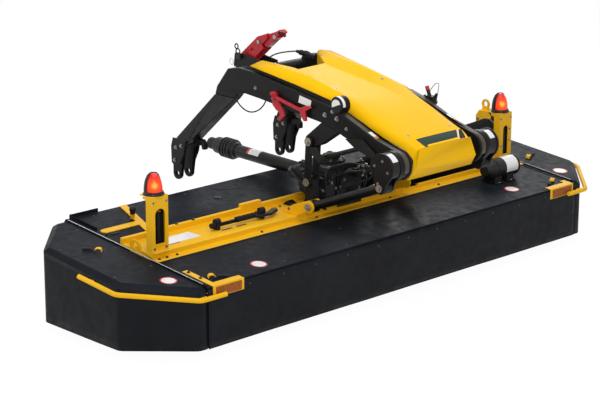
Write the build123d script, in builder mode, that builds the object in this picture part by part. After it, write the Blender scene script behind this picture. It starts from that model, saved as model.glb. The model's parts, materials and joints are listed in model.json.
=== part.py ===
from build123d import *
import os
from math import atan2, cos, pi, radians, sin, tan

# Front disc mower conditioner with a pull-type headstock, in millimetres.
# X runs across the machine, -Y is the way it mows, +Y points back to the tractor, Z is up.
# It stands on its skid shoes and side runners at Z 0, and the origin is under the middle.

# ---- deck: the covered mowing unit
deck_y = -95            # middle of the deck's depth
half_depth = 593        # middle of the deck to its front and rear edges
hinge_x = 1490          # hinge line of the folding end covers
end_x = hinge_x + 352   # outermost edge of the end covers
end_front_y = -304      # where the end covers' front chamfer starts, from the middle of the deck
end_rear_y = 319        # where their rear chamfer starts
front_corner_x = hinge_x + 54   # where the front chamfer meets the front edge
rear_corner_x = hinge_x + 80    # where the rear chamfer meets the rear edge
front_edge_z = 390      # top of the deck at its front edge
rear_edge_z = 500       # top of the deck at its rear edge
cover_wall = 6          # cover sheets
cover_flange = 60       # turned-down edge of the covers
rim_drop = 24           # the end covers' rim slopes down by this
rim_width = 32          # over this width
seam = 5                # gap between neighbouring covers
curtain_wall = 5        # hanging curtains
curtain_bottom_z = 60
curtain_lap = 12        # how far below the deck's edge a curtain starts
fit = 0.3               # running clearance of pins and shafts

deck_slope = (rear_edge_z - front_edge_z) / (2 * half_depth)
front_y = deck_y - half_depth
rear_y = deck_y + half_depth


def behind(distance):
    """A Y place this far behind the middle of the deck."""
    return deck_y + distance


def deck_z(y):
    """Height of the deck's top surface at a Y place."""
    return front_edge_z + (y - front_y) * deck_slope


def outline(*points):
    """A closed straight-sided face in the current sketch."""
    Polygon(*points, align=None)


def mirrored(piece):
    """The same piece on the other side of the machine."""
    with BuildPart() as twin:
        mirror(piece.part, about=Plane.YZ)
    return twin


# ---- cutter bar, discs and skid shoes
disc_count = 8
disc_pitch = 400
disc_radius = 170
disc_thickness = 16
hub_radius = 62
cap_radius = 85
cap_height = 18
knife_tip_radius = 258
knife_width = 46
knife_thickness = 4
knife_root_radius = 128
knife_boss_radius = 18
bar_y = behind(-250)
bar_depth = 270
bar_bottom_z = 30
bar_top_z = 72
bar_overhang = 150      # bar past the centre of the last disc
knife_z = 84            # underside of the knives
knife_gap = 6           # from the knives up to the discs
shoe_width = 190
shoe_wall = 8
shoe_back = 150         # shoe's flat behind the bar's middle
disc_z = knife_z + knife_thickness + knife_gap
disc_xs = [disc_pitch * (i - (disc_count - 1) / 2) for i in range(disc_count)]
bar_half = disc_xs[-1] + bar_overhang
bar_front_y = bar_y - bar_depth / 2
bar_rear_y = bar_y + bar_depth / 2

with BuildPart() as cutter_bar:
    with BuildSketch(Plane.YZ):
        outline(
            (bar_front_y, bar_bottom_z + 12),
            (bar_front_y + 40, bar_bottom_z),
            (bar_rear_y, bar_bottom_z),
            (bar_rear_y, bar_top_z),
            (bar_front_y + 30, bar_top_z),
        )
    extrude(amount=bar_half, both=True)
    with Locations(*[(x, bar_y, bar_top_z) for x in disc_xs]):
        Cylinder(hub_radius + 14, knife_z - bar_top_z - fit, align=(Align.CENTER, Align.CENTER, Align.MIN))
cutter_bar.part.label = "cutter_bar"

with BuildPart() as skid_shoes:
    for x in disc_xs:
        with BuildSketch(Plane.YZ.offset(x - shoe_width / 2)):
            outline(
                (bar_front_y + 40, 0),
                (bar_y + shoe_back, 0),
                (bar_y + shoe_back, shoe_wall),
                (bar_rear_y - 20, bar_bottom_z),
                (bar_rear_y - 45, bar_bottom_z),
                (bar_rear_y - 80, shoe_wall),
                (bar_front_y + 60, shoe_wall),
                (bar_front_y + 42, bar_bottom_z),
                (bar_front_y + 40, bar_bottom_z),
                (bar_front_y, bar_bottom_z + 12),
                (bar_front_y - 14, bar_bottom_z + 16),
            )
        extrude(amount=shoe_width)
skid_shoes.part.label = "skid_shoes"

discs = []
for number, x in enumerate(disc_xs):
    knife_turn = 90 * (number % 2)
    with BuildPart() as disc:
        with Locations((x, bar_y, disc_z)):
            Cylinder(disc_radius, disc_thickness, align=(Align.CENTER, Align.CENTER, Align.MIN))
        with Locations((x, bar_y, disc_z + disc_thickness)):
            Cone(cap_radius, cap_radius - 30, cap_height, align=(Align.CENTER, Align.CENTER, Align.MIN))
        with Locations((x, bar_y, knife_z)):
            Cylinder(hub_radius, disc_z - knife_z, align=(Align.CENTER, Align.CENTER, Align.MIN))
        with Locations((x, bar_y, knife_z)):
            with PolarLocations(0, 2, start_angle=knife_turn):
                with Locations((knife_root_radius, 0, 0)):
                    Box(
                        knife_tip_radius - knife_root_radius,
                        knife_width,
                        knife_thickness,
                        align=(Align.MIN, Align.CENTER, Align.MIN),
                    )
                with Locations((knife_root_radius + knife_boss_radius, 0, 0)):
                    Cylinder(knife_boss_radius, disc_z - knife_z, align=(Align.CENTER, Align.CENTER, Align.MIN))
    disc.part.label = f"disc_{number + 1}"
    discs.append(disc)

# ---- main beam along the top of the deck
beam_end_gap = 8        # from the beam's ends to the hinge lines
beam_half = hinge_x - beam_end_gap
beam_front_y = behind(-190)
beam_step_y = behind(-150)
beam_box_front_y = behind(-140)
beam_box_rear_y = behind(40)
beam_rim_y = behind(92)
beam_rear_y = behind(120)
beam_top_z = 468
beam_bottom_z = 365
beam_wall = 8
rim_top_z = 500
ledge = 8
loop_y = behind(-5)     # lifting loops on the beam's ends
loop_radius = 48
loop_hole_radius = 16
loop_wall = 10
rim_clip_x = 556
rim_clip_length = 150
rim_clip_height = 22

with BuildPart() as main_beam:
    with BuildSketch(Plane.YZ.offset(-beam_half)):
        outline(
            (beam_front_y, deck_z(beam_front_y)),
            (beam_box_front_y, deck_z(beam_box_front_y)),
            (beam_box_front_y, beam_bottom_z),
            (beam_box_rear_y, beam_bottom_z),
            (beam_box_rear_y, deck_z(beam_box_rear_y)),
            (beam_rear_y, deck_z(beam_rear_y)),
            (beam_rear_y, rim_top_z),
            (beam_rim_y, rim_top_z),
            (beam_rim_y, beam_top_z),
            (beam_step_y, beam_top_z),
            (beam_step_y, deck_z(beam_step_y) + ledge),
            (beam_front_y, deck_z(beam_front_y) + ledge),
        )
    extrude(amount=2 * beam_half)
    with BuildSketch(Plane.YZ.offset(beam_wall - beam_half)):
        outline(
            (beam_box_front_y + beam_wall, beam_bottom_z + beam_wall),
            (beam_box_rear_y - beam_wall, beam_bottom_z + beam_wall),
            (beam_box_rear_y - beam_wall, beam_top_z - beam_wall),
            (beam_box_front_y + beam_wall, beam_top_z - beam_wall),
        )
    extrude(amount=2 * (beam_half - beam_wall), mode=Mode.SUBTRACT)
    for loop_x in (-beam_half, beam_half - loop_wall):
        with BuildSketch(Plane.YZ.offset(loop_x)):
            with Locations((loop_y, beam_top_z)):
                Circle(loop_radius)
                Rectangle(2 * loop_radius, loop_radius, align=(Align.CENTER, Align.MAX), mode=Mode.SUBTRACT)
            with Locations((loop_y, beam_top_z + 18)):
                Circle(loop_hole_radius, mode=Mode.SUBTRACT)
        extrude(amount=loop_wall)
    with Locations((-rim_clip_x, beam_rim_y, rim_top_z)):
        Box(rim_clip_length, beam_rear_y - beam_rim_y, rim_clip_height, align=(Align.CENTER, Align.MIN, Align.MIN))
main_beam.part.label = "main_beam"

# ---- deck covers and their curtains
cover_half = hinge_x - seam / 2
lip_x = cover_half - 36         # upright lips at the rear cover's corners
lip_wall = 6
lip_height = 22
lip_length = 200                # along the rear edge
lip_run = 245                   # along the hinge line

with BuildPart() as front_cover:
    with BuildSketch(Plane.YZ):
        outline(
            (beam_box_front_y - fit, deck_z(beam_box_front_y - fit)),
            (front_y, front_edge_z),
            (front_y, front_edge_z - cover_flange),
            (front_y + cover_wall, front_edge_z - cover_flange),
            (front_y + cover_wall, deck_z(front_y + cover_wall) - cover_wall),
            (beam_box_front_y - fit, deck_z(beam_box_front_y - fit) - cover_wall),
        )
    extrude(amount=cover_half, both=True)
front_cover.part.label = "front_cover"

with BuildPart() as rear_cover:
    with BuildSketch(Plane.YZ):
        outline(
            (beam_box_rear_y + fit, deck_z(beam_box_rear_y + fit)),
            (rear_y, rear_edge_z),
            (rear_y, rear_edge_z - cover_flange),
            (rear_y - cover_wall, rear_edge_z - cover_flange),
            (rear_y - cover_wall, deck_z(rear_y - cover_wall) - cover_wall),
            (beam_box_rear_y + fit, deck_z(beam_box_rear_y + fit) - cover_wall),
        )
    extrude(amount=cover_half, both=True)
    for side in (-1, 1):
        with Locations((side * (lip_x + lip_wall), rear_y - lip_wall, rear_edge_z - cover_wall)):
            Box(
                lip_length,
                lip_wall,
                lip_height + cover_wall,
                align=(Align.MAX if side > 0 else Align.MIN, Align.MIN, Align.MIN),
            )
        with BuildSketch(Plane.YZ.offset(side * lip_x - (lip_wall if side < 0 else 0))):
            outline(
                (rear_y, rear_edge_z - cover_wall),
                (rear_y, rear_edge_z + lip_height),
                (rear_y - lip_run, deck_z(rear_y - lip_run) + lip_height),
                (rear_y - lip_run, deck_z(rear_y - lip_run) - cover_wall),
            )
        extrude(amount=lip_wall)
rear_cover.part.label = "rear_cover"

with BuildPart() as front_curtain:
    with Locations((0, front_y, curtain_bottom_z)):
        Box(
            2 * cover_half,
            curtain_wall,
            front_edge_z - curtain_lap - curtain_bottom_z,
            align=(Align.CENTER, Align.MAX, Align.MIN),
        )
front_curtain.part.label = "front_curtain"

with BuildPart() as rear_curtain:
    with Locations((0, rear_y, curtain_bottom_z)):
        Box(
            2 * cover_half,
            curtain_wall,
            rear_edge_z - curtain_lap - curtain_bottom_z,
            align=(Align.CENTER, Align.MIN, Align.MIN),
        )
rear_curtain.part.label = "rear_curtain"

# ---- end covers: trays that carry the end curtains and fold up about the hinge line
deck_angle = atan2(deck_slope, 1)
deck_plane = Plane(
    origin=(0, front_y, front_edge_z),
    x_dir=(1, 0, 0),
    z_dir=(0, -sin(deck_angle), cos(deck_angle)),
)
end_inner_x = hinge_x + seam / 2
chamfer_share = 0.4     # how far a chamfer's ends move for an inset of 1


def end_points(inset, inner_x):
    """The right end's outline from above, drawn in from its outer edges by an inset."""
    return [
        (inner_x, front_y + inset),
        (front_corner_x - chamfer_share * inset, front_y + inset),
        (end_x - inset, behind(end_front_y) + chamfer_share * inset),
        (end_x - inset, behind(end_rear_y) - chamfer_share * inset),
        (rear_corner_x - chamfer_share * inset, rear_y - inset),
        (inner_x, rear_y - inset),
    ]


def end_face(drop, inset, inner_x):
    """That outline laid in the deck's slope, this far below its top surface."""
    with BuildSketch(deck_plane.offset(-drop)) as face:
        outline(*[
            (x, (y - front_y - drop * sin(deck_angle)) / cos(deck_angle))
            for x, y in end_points(inset, inner_x)
        ])
    return face.sketch


with BuildPart() as end_cover_right:
    loft([end_face(0, rim_width, end_inner_x), end_face(rim_drop, 0, end_inner_x)], ruled=True)
    loft(
        [
            end_face(cover_wall, rim_width + 2, end_inner_x - 1),
            end_face(rim_drop + cover_wall, -2, end_inner_x - 1),
        ],
        ruled=True,
        mode=Mode.SUBTRACT,
    )
end_cover_left = mirrored(end_cover_right)
end_cover_right.part.label = "end_cover_right"
end_cover_left.part.label = "end_cover_left"

with BuildPart() as end_curtain_right:
    with BuildSketch(Plane.XY.offset(curtain_bottom_z)):
        outline(*end_points(0, end_inner_x))
    extrude(amount=rear_edge_z - curtain_bottom_z)
    with BuildSketch(Plane.XY.offset(curtain_bottom_z)):
        outline(*end_points(curtain_wall, end_inner_x - 1))
    extrude(amount=rear_edge_z - curtain_bottom_z, mode=Mode.SUBTRACT)
    split(bisect_by=deck_plane.offset(-rim_drop), keep=Keep.BOTTOM)
end_curtain_left = mirrored(end_curtain_right)
end_curtain_right.part.label = "end_curtain_right"
end_curtain_left.part.label = "end_curtain_left"

# ---- hinge rods of the end covers, with the leaf that carries each on the middle covers
hinge_rod_radius = 5
hinge_leaf_width = 24
hinge_leaf_wall = 3
hinge_height = hinge_rod_radius + fit

with BuildPart() as hinge_rods:
    for span_front_y, span_rear_y in (
        (front_y + 20, beam_front_y - 6),
        (beam_rear_y + 6, rear_y - 20),
    ):
        hinge_plane = Plane(
            origin=(hinge_x, span_front_y, deck_z(span_front_y)),
            x_dir=(1, 0, 0),
            z_dir=(0, -cos(deck_angle), -sin(deck_angle)),
        )
        with BuildSketch(hinge_plane):
            with Locations((0, hinge_height)):
                Circle(hinge_rod_radius)
            with Locations((-seam / 2, 0)):
                Rectangle(hinge_leaf_width, hinge_leaf_wall, align=(Align.MAX, Align.MIN))
        extrude(amount=-(span_rear_y - span_front_y) / cos(deck_angle))
    mirror(about=Plane.YZ)
hinge_rods.part.label = "hinge_rods"

# ---- side frames: runner, conditioner bearing and rear carrier of the cutter bar
side_frame_x = 1450     # middle of the side plates
side_wall = 8
runner_width = 60
runner_height = 10
rotor_y = behind(300)
rotor_z = 250
rotor_tube_radius = 57
rotor_shaft_radius = 18
tine_tip_radius = 165
tine_rows = 4
tine_count = 18         # tines in a row
tine_width = 14
tine_thickness = 8
bearing_radius = 52
bearing_length = 30
conditioner_hood_radius = 186
conditioner_hood_wall = 4
rotor_half = side_frame_x - side_wall / 2 - 8
side_rear_y = rear_y - cover_wall - 4
side_front_y = behind(46)

with BuildPart() as side_frames:
    with BuildSketch(Plane.YZ.offset(side_frame_x - side_wall / 2)):
        outline(
            (bar_rear_y, bar_bottom_z + 4),
            (behind(20), bar_bottom_z + 4),
            (behind(50), 0),
            (side_rear_y - 60, 0),
            (side_rear_y, 60),
            (side_rear_y, deck_z(side_rear_y) - cover_wall),
            (side_front_y, deck_z(side_front_y) - cover_wall),
            (side_front_y, bar_top_z + 30),
            (behind(10), bar_top_z),
            (bar_rear_y, bar_top_z),
        )
    extrude(amount=side_wall)
    with Locations((side_frame_x, behind(50), 0)):
        Box(
            runner_width,
            side_rear_y - 60 - behind(50),
            runner_height,
            align=(Align.CENTER, Align.MIN, Align.MIN),
        )
    with Locations(Plane.YZ.offset(side_frame_x + side_wall / 2) * Location((rotor_y, rotor_z))):
        Cylinder(bearing_radius, bearing_length, align=(Align.CENTER, Align.CENTER, Align.MIN))
        Hole(rotor_shaft_radius + fit, depth=2 * bearing_length)
    with Locations(Plane.YZ.offset(side_frame_x - side_wall / 2) * Location((rotor_y, rotor_z))):
        Cylinder(
            rotor_shaft_radius + fit,
            side_wall + bearing_length,
            align=(Align.CENTER, Align.CENTER, Align.MIN),
            mode=Mode.SUBTRACT,
        )
    mirror(about=Plane.YZ)
side_frames.part.label = "side_frames"

with BuildPart() as conditioner_rotor:
    with Locations(Plane.YZ * Location((rotor_y, rotor_z))):
        Cylinder(rotor_tube_radius, 2 * rotor_half)
        Cylinder(rotor_shaft_radius, 2 * (side_frame_x + side_wall / 2 + bearing_length - 4))
    tine_pitch = 2 * (rotor_half - 40) / (tine_count - 0.5)
    for row in range(tine_rows):
        row_plane = Plane.YZ * Location((rotor_y, rotor_z), 360 * row / tine_rows)
        for tine in range(tine_count):
            tine_x = 40 - rotor_half + (tine + 0.5 * (row % 2)) * tine_pitch
            with Locations(row_plane * Location((0, 0, tine_x))):
                Box(
                    tine_tip_radius,
                    tine_thickness,
                    tine_width,
                    align=(Align.MIN, Align.CENTER, Align.CENTER),
                )
conditioner_rotor.part.label = "conditioner_rotor"

with BuildPart() as conditioner_hood:
    hood_half = side_frame_x - side_wall / 2
    with BuildSketch(Plane.YZ.offset(-hood_half)):
        with Locations((rotor_y, rotor_z)):
            Circle(conditioner_hood_radius + conditioner_hood_wall)
            Circle(conditioner_hood_radius, mode=Mode.SUBTRACT)
        with Locations((rotor_y, rotor_z + 60)):
            Rectangle(
                3 * conditioner_hood_radius,
                3 * conditioner_hood_radius,
                align=(Align.CENTER, Align.MAX),
                mode=Mode.SUBTRACT,
            )
    extrude(amount=2 * hood_half)
conditioner_hood.part.label = "conditioner_hood"

# ---- headstock: a pair of arms with legs down to the tractor's lower links
arm_inner_x = 275
arm_step_x = 292        # inside this the arms' top rises to the hood
arm_outer_x = 330
drum_y = behind(-790)
drum_z = 862
nose_radius = 76
ridge_nose_radius = 86
arm_shoulder = [(347, 1199), (-11, 1149), (-294, 1101), (-395, 1073), (-520, 1028), (-644, 978)]
arm_ridge = [(347, 1219), (0, 1168), (-300, 1114), (-395, 1076), (-500, 1040), (-644, 986)]
stop_wall = 30          # hook stops under the arms
boss_y = behind(-375)   # boss on the left arm's outer side
boss_z = 1125
boss_radius = 48
boss_end_x = 354
hitch_x = 412.5         # half of the lower hitch spacing
hitch_y = behind(840)
hitch_z = 528
hitch_bore = 14.3       # radius of the lower hitch holes
ear_gap = 62            # between the ears of a clevis
ear_wall = 22
ear_radius = 37

with BuildPart() as arm_right:
    for start_x, stop_x, top_line, tip_radius in (
        (arm_inner_x, arm_step_x, arm_ridge, ridge_nose_radius),
        (arm_step_x, arm_outer_x, arm_shoulder, nose_radius),
    ):
        with BuildSketch(Plane.YZ.offset(start_x)):
            outline(
                (behind(540), 1186),
                (behind(452), 1203),
                *[(behind(distance), height) for distance, height in top_line],
                (drum_y - tip_radius * sin(radians(22)), drum_z + tip_radius * cos(radians(22))),
                (drum_y, drum_z),
                (drum_y + tip_radius * sin(radians(30)), drum_z - tip_radius * cos(radians(30))),
                (behind(-623), 858),
                (behind(-472), 928),
                (behind(-350), 970),
                (behind(-225), 1000),
                (behind(-20), 1022),
                (behind(270), 1052),
                (behind(395), 1062),
                (behind(450), 1050),
                (behind(476), 1020),
                (behind(650), 1020),
                (behind(634), 1068),
            )
            with Locations((drum_y, drum_z)):
                Circle(tip_radius)
        extrude(amount=stop_x - start_x)
    with BuildSketch(Plane.YZ.offset(arm_inner_x)):
        outline(
            (behind(134), 1046),
            (behind(128), 945),
            (behind(75), 945),
            (behind(6), 1034),
        )
    extrude(amount=stop_wall)
with BuildPart() as arm_left:
    mirror(arm_right.part, about=Plane.YZ)
    with Locations(Plane.YZ.offset(-boss_end_x) * Location((boss_y, boss_z))):
        Cylinder(boss_radius, boss_end_x - arm_step_x, align=(Align.CENTER, Align.CENTER, Align.MIN))
arm_right.part.label = "arm_right"
arm_left.part.label = "arm_left"

leg_top_z = 1020
leg_bottom_z = 715
leg_front_top_y = behind(476)
leg_rear_top_y = behind(650)
leg_front_bottom_y = behind(757)
leg_rear_bottom_y = behind(876)
ear_in = ear_gap / 2
ear_out = ear_gap / 2 + ear_wall

with BuildPart() as leg_right:
    with BuildSketch(Plane.XY.offset(leg_top_z)):
        outline(
            (arm_inner_x, leg_front_top_y),
            (arm_outer_x, leg_front_top_y),
            (arm_outer_x, leg_rear_top_y),
            (arm_inner_x, leg_rear_top_y),
        )
    with BuildSketch(Plane.XY.offset(leg_bottom_z)):
        outline(
            (hitch_x - ear_out, leg_front_bottom_y),
            (hitch_x + ear_out, leg_front_bottom_y),
            (hitch_x + ear_out, leg_rear_bottom_y),
            (hitch_x - ear_out, leg_rear_bottom_y),
        )
    loft(ruled=True)
    for ear_x in (hitch_x - ear_out, hitch_x + ear_in):
        with BuildSketch(Plane.YZ.offset(ear_x)):
            outline(
                (leg_front_bottom_y, leg_bottom_z + 1),
                (leg_front_bottom_y + 22, leg_bottom_z - 50),
                (hitch_y - ear_radius, hitch_z),
                (hitch_y + ear_radius, hitch_z),
                (leg_rear_bottom_y, leg_bottom_z - 50),
                (leg_rear_bottom_y, leg_bottom_z + 1),
            )
            with Locations((hitch_y, hitch_z)):
                Circle(ear_radius)
                Circle(hitch_bore, mode=Mode.SUBTRACT)
        extrude(amount=ear_wall)
leg_left = mirrored(leg_right)
leg_right.part.label = "leg_right"
leg_left.part.label = "leg_left"

# ---- cross tubes between the arms, the mast and the red top link hook
apex_tube_radius = 48
apex_tube_y = behind(545)
apex_tube_z = 1115
lift_shaft_radius = 40
lift_shaft_y = behind(-330)
lift_shaft_z = 1045
front_tube_radius = 45

with BuildPart() as cross_tubes:
    for tube_y, tube_z, tube_radius in (
        (apex_tube_y, apex_tube_z, apex_tube_radius),
        (lift_shaft_y, lift_shaft_z, lift_shaft_radius),
        (drum_y, drum_z, front_tube_radius),
    ):
        with Locations(Plane.YZ * Location((tube_y, tube_z))):
            Cylinder(tube_radius, 2 * arm_inner_x)
cross_tubes.part.label = "cross_tubes"

mast_plate_x = 46
mast_wall = 12
hook_pin_y = behind(745)
hook_pin_z = 1165

with BuildPart() as mast:
    for plate_x in (-mast_plate_x - mast_wall, mast_plate_x):
        with BuildSketch(Plane.YZ.offset(plate_x)):
            outline(
                (apex_tube_y - 20, apex_tube_z + 30),
                (apex_tube_y - 20, apex_tube_z + 70),
                (hook_pin_y - 40, hook_pin_z + 45),
                (hook_pin_y + 35, hook_pin_z + 40),
                (hook_pin_y + 45, hook_pin_z - 40),
                (apex_tube_y + 60, apex_tube_z - 40),
                (apex_tube_y, apex_tube_z - 40),
            )
            with Locations((apex_tube_y, apex_tube_z)):
                Circle(apex_tube_radius, mode=Mode.SUBTRACT)
        extrude(amount=mast_wall)
mast.part.label = "mast"

jaw_plate_x = 24
jaw_wall = 14
hook_pin_radius = 12.5
hook_bore_y = behind(645)
hook_bore_z = 1239
catch_pin_radius = 9

with BuildPart() as top_link_hook:
    for plate_x in (-jaw_plate_x - jaw_wall, jaw_plate_x):
        with BuildSketch(Plane.YZ.offset(plate_x)):
            outline(
                (behind(776), 1158),
                (behind(752), 1200),
                (behind(602), 1326),
                (behind(512), 1358),
                (behind(524), 1316),
                (behind(566), 1284),
                (behind(556), 1256),
                (behind(612), 1208),
                (behind(704), 1136),
                (behind(762), 1134),
            )
            with Locations((hook_bore_y, hook_bore_z)):
                Circle(hook_pin_radius + fit, mode=Mode.SUBTRACT)
        extrude(amount=jaw_wall)
    with Locations(Plane.YZ * Location((hook_pin_y, hook_pin_z))):
        Cylinder(hook_pin_radius, 2 * mast_plate_x - 2 * fit)
    with BuildSketch(Plane.YZ.offset(-jaw_plate_x)):
        outline(
            (behind(404), 1372),
            (behind(430), 1388),
            (behind(520), 1340),
            (behind(602), 1318),
            (behind(640), 1278),
            (behind(592), 1262),
            (behind(566), 1284),
            (behind(533), 1268),
            (behind(470), 1320),
        )
    extrude(amount=2 * jaw_plate_x)
    with Locations(Plane.YZ * Location((behind(452), 1344))):
        Cylinder(catch_pin_radius, 2 * (jaw_plate_x + jaw_wall))
top_link_hook.part.label = "top_link_hook"

# ---- lock hook on the outer side of the left arm
lock_wall = 14
lock_x = -arm_outer_x - lock_wall
lock_boss_y = behind(134)
lock_boss_z = 1096
lock_boss_radius = 24
lock_rod_radius = 9
lock_rod_end_y = behind(-92)
lock_rod_end_z = 1050

with BuildPart() as lock_hook:
    with BuildSketch(Plane.YZ.offset(lock_x)):
        outline(
            (behind(155), 1082),
            (behind(112), 1080),
            (behind(60), 1022),
            (behind(50), 990),
            (behind(86), 956),
            (behind(112), 962),
            (behind(88), 992),
            (behind(97), 1010),
            (behind(116), 1012),
            (behind(148), 1040),
        )
        with Locations((lock_boss_y, lock_boss_z)):
            Circle(lock_boss_radius)
    extrude(amount=lock_wall)
    with Locations(Plane.YZ.offset(lock_x - lock_wall) * Location((lock_boss_y, lock_boss_z))):
        Cylinder(lock_boss_radius, lock_wall, align=(Align.CENTER, Align.CENTER, Align.MIN))
    with BuildSketch(Plane.YZ.offset(lock_x - lock_wall)):
        outline(
            (lock_boss_y, lock_boss_z - lock_rod_radius),
            (lock_boss_y, lock_boss_z + lock_rod_radius),
            (lock_rod_end_y, lock_rod_end_z + lock_rod_radius),
            (lock_rod_end_y, lock_rod_end_z - lock_rod_radius),
        )
    extrude(amount=lock_wall)
    with BuildSketch(Plane.YZ.offset(lock_x - lock_wall)):
        outline(
            (behind(-80), 1062),
            (behind(-150), 1086),
            (behind(-178), 1078),
            (behind(-132), 1050),
            (behind(-140), 996),
            (behind(-120), 992),
            (behind(-92), 1028),
        )
    extrude(amount=lock_wall)
lock_hook.part.label = "lock_hook"

# ---- pivot drums, pull links and their brackets on the beam
drum_radius = 84
link_x = 392
link_radius = 25
link_eye_radius = 34
link_eye_width = 52
link_pin_radius = 14
link_front_y = behind(-782)
link_front_z = 752
link_rear_y = behind(-238)
link_rear_z = 535
lug_wall = 12
lug_gap = link_eye_width + 2

with BuildPart() as pivot_drums:
    with Locations(Plane.YZ.offset(arm_outer_x) * Location((drum_y, drum_z))):
        Cylinder(
            drum_radius,
            link_x - lug_gap / 2 - arm_outer_x,
            align=(Align.CENTER, Align.CENTER, Align.MIN),
        )
    for lug_x in (link_x - lug_gap / 2 - lug_wall, link_x + lug_gap / 2):
        with BuildSketch(Plane.YZ.offset(lug_x)):
            outline(
                (drum_y - drum_radius, drum_z),
                (link_front_y - link_eye_radius, link_front_z),
                (link_front_y + link_eye_radius, link_front_z),
                (drum_y + drum_radius, drum_z),
            )
            with Locations((link_front_y, link_front_z)):
                Circle(link_eye_radius)
            with Locations((drum_y, drum_z)):
                Circle(drum_radius)
        extrude(amount=lug_wall)
    with Locations(Plane.YZ.offset(link_x) * Location((link_front_y, link_front_z))):
        Cylinder(link_pin_radius, lug_gap + 2)
    with Locations(Plane.YZ.offset(link_x) * Location((drum_y + 20, drum_z + 30))):
        Cylinder(30, lug_gap + 2)
    mirror(about=Plane.YZ)
pivot_drums.part.label = "pivot_drums"

link_run = ((link_rear_y - link_front_y) ** 2 + (link_rear_z - link_front_z) ** 2) ** 0.5
link_plane = Plane(
    origin=(link_x, link_front_y, link_front_z),
    x_dir=(1, 0, 0),
    z_dir=(0, link_rear_y - link_front_y, link_rear_z - link_front_z),
)

with BuildPart() as pull_links:
    with BuildSketch(link_plane.offset(link_eye_radius - 8)):
        Circle(link_radius)
    extrude(amount=link_run - 2 * (link_eye_radius - 8))
    with Locations(
        Plane.YZ.offset(link_x) * Location((link_front_y, link_front_z)),
        Plane.YZ.offset(link_x) * Location((link_rear_y, link_rear_z)),
    ):
        Cylinder(link_eye_radius, link_eye_width)
        Cylinder(link_pin_radius + fit, link_eye_width, mode=Mode.SUBTRACT)
    mirror(about=Plane.YZ)
pull_links.part.label = "pull_links"

with BuildPart() as link_brackets:
    for lug_x in (link_x - lug_gap / 2 - lug_wall, link_x + lug_gap / 2):
        with BuildSketch(Plane.YZ.offset(lug_x)):
            outline(
                (beam_step_y + 2, beam_top_z),
                (link_rear_y - 36, link_rear_z - 6),
                (link_rear_y, link_rear_z + 36),
                (link_rear_y + 120, beam_top_z + 60),
                (link_rear_y + 220, beam_top_z),
            )
            with Locations((link_rear_y, link_rear_z)):
                Circle(link_eye_radius + 2)
        extrude(amount=lug_wall)
    with Locations(Plane.YZ.offset(link_x) * Location((link_rear_y, link_rear_z))):
        Cylinder(link_pin_radius, lug_gap + 2)
    mirror(about=Plane.YZ)
link_brackets.part.label = "link_brackets"

# ---- lift levers on the cross shaft and the links down to the gear stand
lever_x = 302
lever_width = 50
lever_pin_y = behind(-143)
lever_pin_z = 877
lever_radius = 42
lift_link_foot_y = behind(-130)
lift_link_beam_top_z = 640

with BuildPart() as lift_levers:
    with BuildSketch(Plane.YZ.offset(lever_x - lever_width / 2)):
        outline(
            (behind(-392), 985),
            (behind(-300), 1010),
            (behind(-238), 1008),
            (lever_pin_y + lever_radius * 0.75, lever_pin_z + lever_radius * 0.65),
            (lever_pin_y - lever_radius * 0.75, lever_pin_z - lever_radius * 0.65),
            (behind(-226), 872),
        )
        with Locations((lever_pin_y, lever_pin_z)):
            Circle(lever_radius)
            Circle(link_pin_radius + fit, mode=Mode.SUBTRACT)
    extrude(amount=lever_width)
    add(arm_right.part, mode=Mode.SUBTRACT)
    mirror(about=Plane.YZ)
lift_levers.part.label = "lift_levers"

with BuildPart() as lift_links:
    for plate_x in (lever_x - lever_width / 2 - fit - 14, lever_x + lever_width / 2 + fit):
        with BuildSketch(Plane.YZ.offset(plate_x)):
            outline(
                (lever_pin_y - 24, lever_pin_z),
                (lever_pin_y + 24, lever_pin_z),
                (lift_link_foot_y + 24, lift_link_beam_top_z),
                (lift_link_foot_y - 24, lift_link_beam_top_z),
            )
            with Locations((lever_pin_y, lever_pin_z), (lift_link_foot_y, lift_link_beam_top_z)):
                Circle(28)
        extrude(amount=14)
    with Locations(
        Plane.YZ.offset(lever_x) * Location((lever_pin_y, lever_pin_z)),
        Plane.YZ.offset(lever_x) * Location((lift_link_foot_y, lift_link_beam_top_z)),
    ):
        Cylinder(link_pin_radius, lever_width + 2)
    mirror(about=Plane.YZ)
lift_links.part.label = "lift_links"

# ---- gear stand on the beam with the gearbox, the guarded shafts and the end drive housing
stand_x = lever_x
stand_wall = lever_width - 2
gearbox_front_y = behind(-120)
gearbox_rear_y = behind(150)
gearbox_half = 150
gearbox_bottom_z = rim_top_z
gearbox_top_z = 668
gear_lid_radius = 84
gear_lid_height = 24
pto_z = 575
cross_shaft_y = behind(-10)
cross_shaft_near_z = 566  # at the gearbox
cross_shaft_far_z = 628   # at the end housing
bellows_radius = 88
shaft_guard_radius = 48
housing_x = 1350
housing_width = 118
housing_top_z = 752

with BuildPart() as gear_stand:
    for plate_x in (-stand_x - stand_wall / 2, stand_x - stand_wall / 2):
        with BuildSketch(Plane.YZ.offset(plate_x)):
            outline(
                (behind(-148), beam_top_z),
                (behind(84), beam_top_z),
                (lift_link_foot_y + 60, lift_link_beam_top_z - 60),
                (lift_link_foot_y + 30, lift_link_beam_top_z),
                (lift_link_foot_y - 30, lift_link_beam_top_z),
                (behind(-170), lift_link_beam_top_z - 60),
            )
            with Locations((lift_link_foot_y, lift_link_beam_top_z)):
                Circle(32)
                Circle(link_pin_radius + fit, mode=Mode.SUBTRACT)
            with Locations((cross_shaft_y, cross_shaft_near_z + 8)):
                Circle(bellows_radius + 8, mode=Mode.SUBTRACT)
        extrude(amount=stand_wall)
gear_stand.part.label = "gear_stand"

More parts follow.
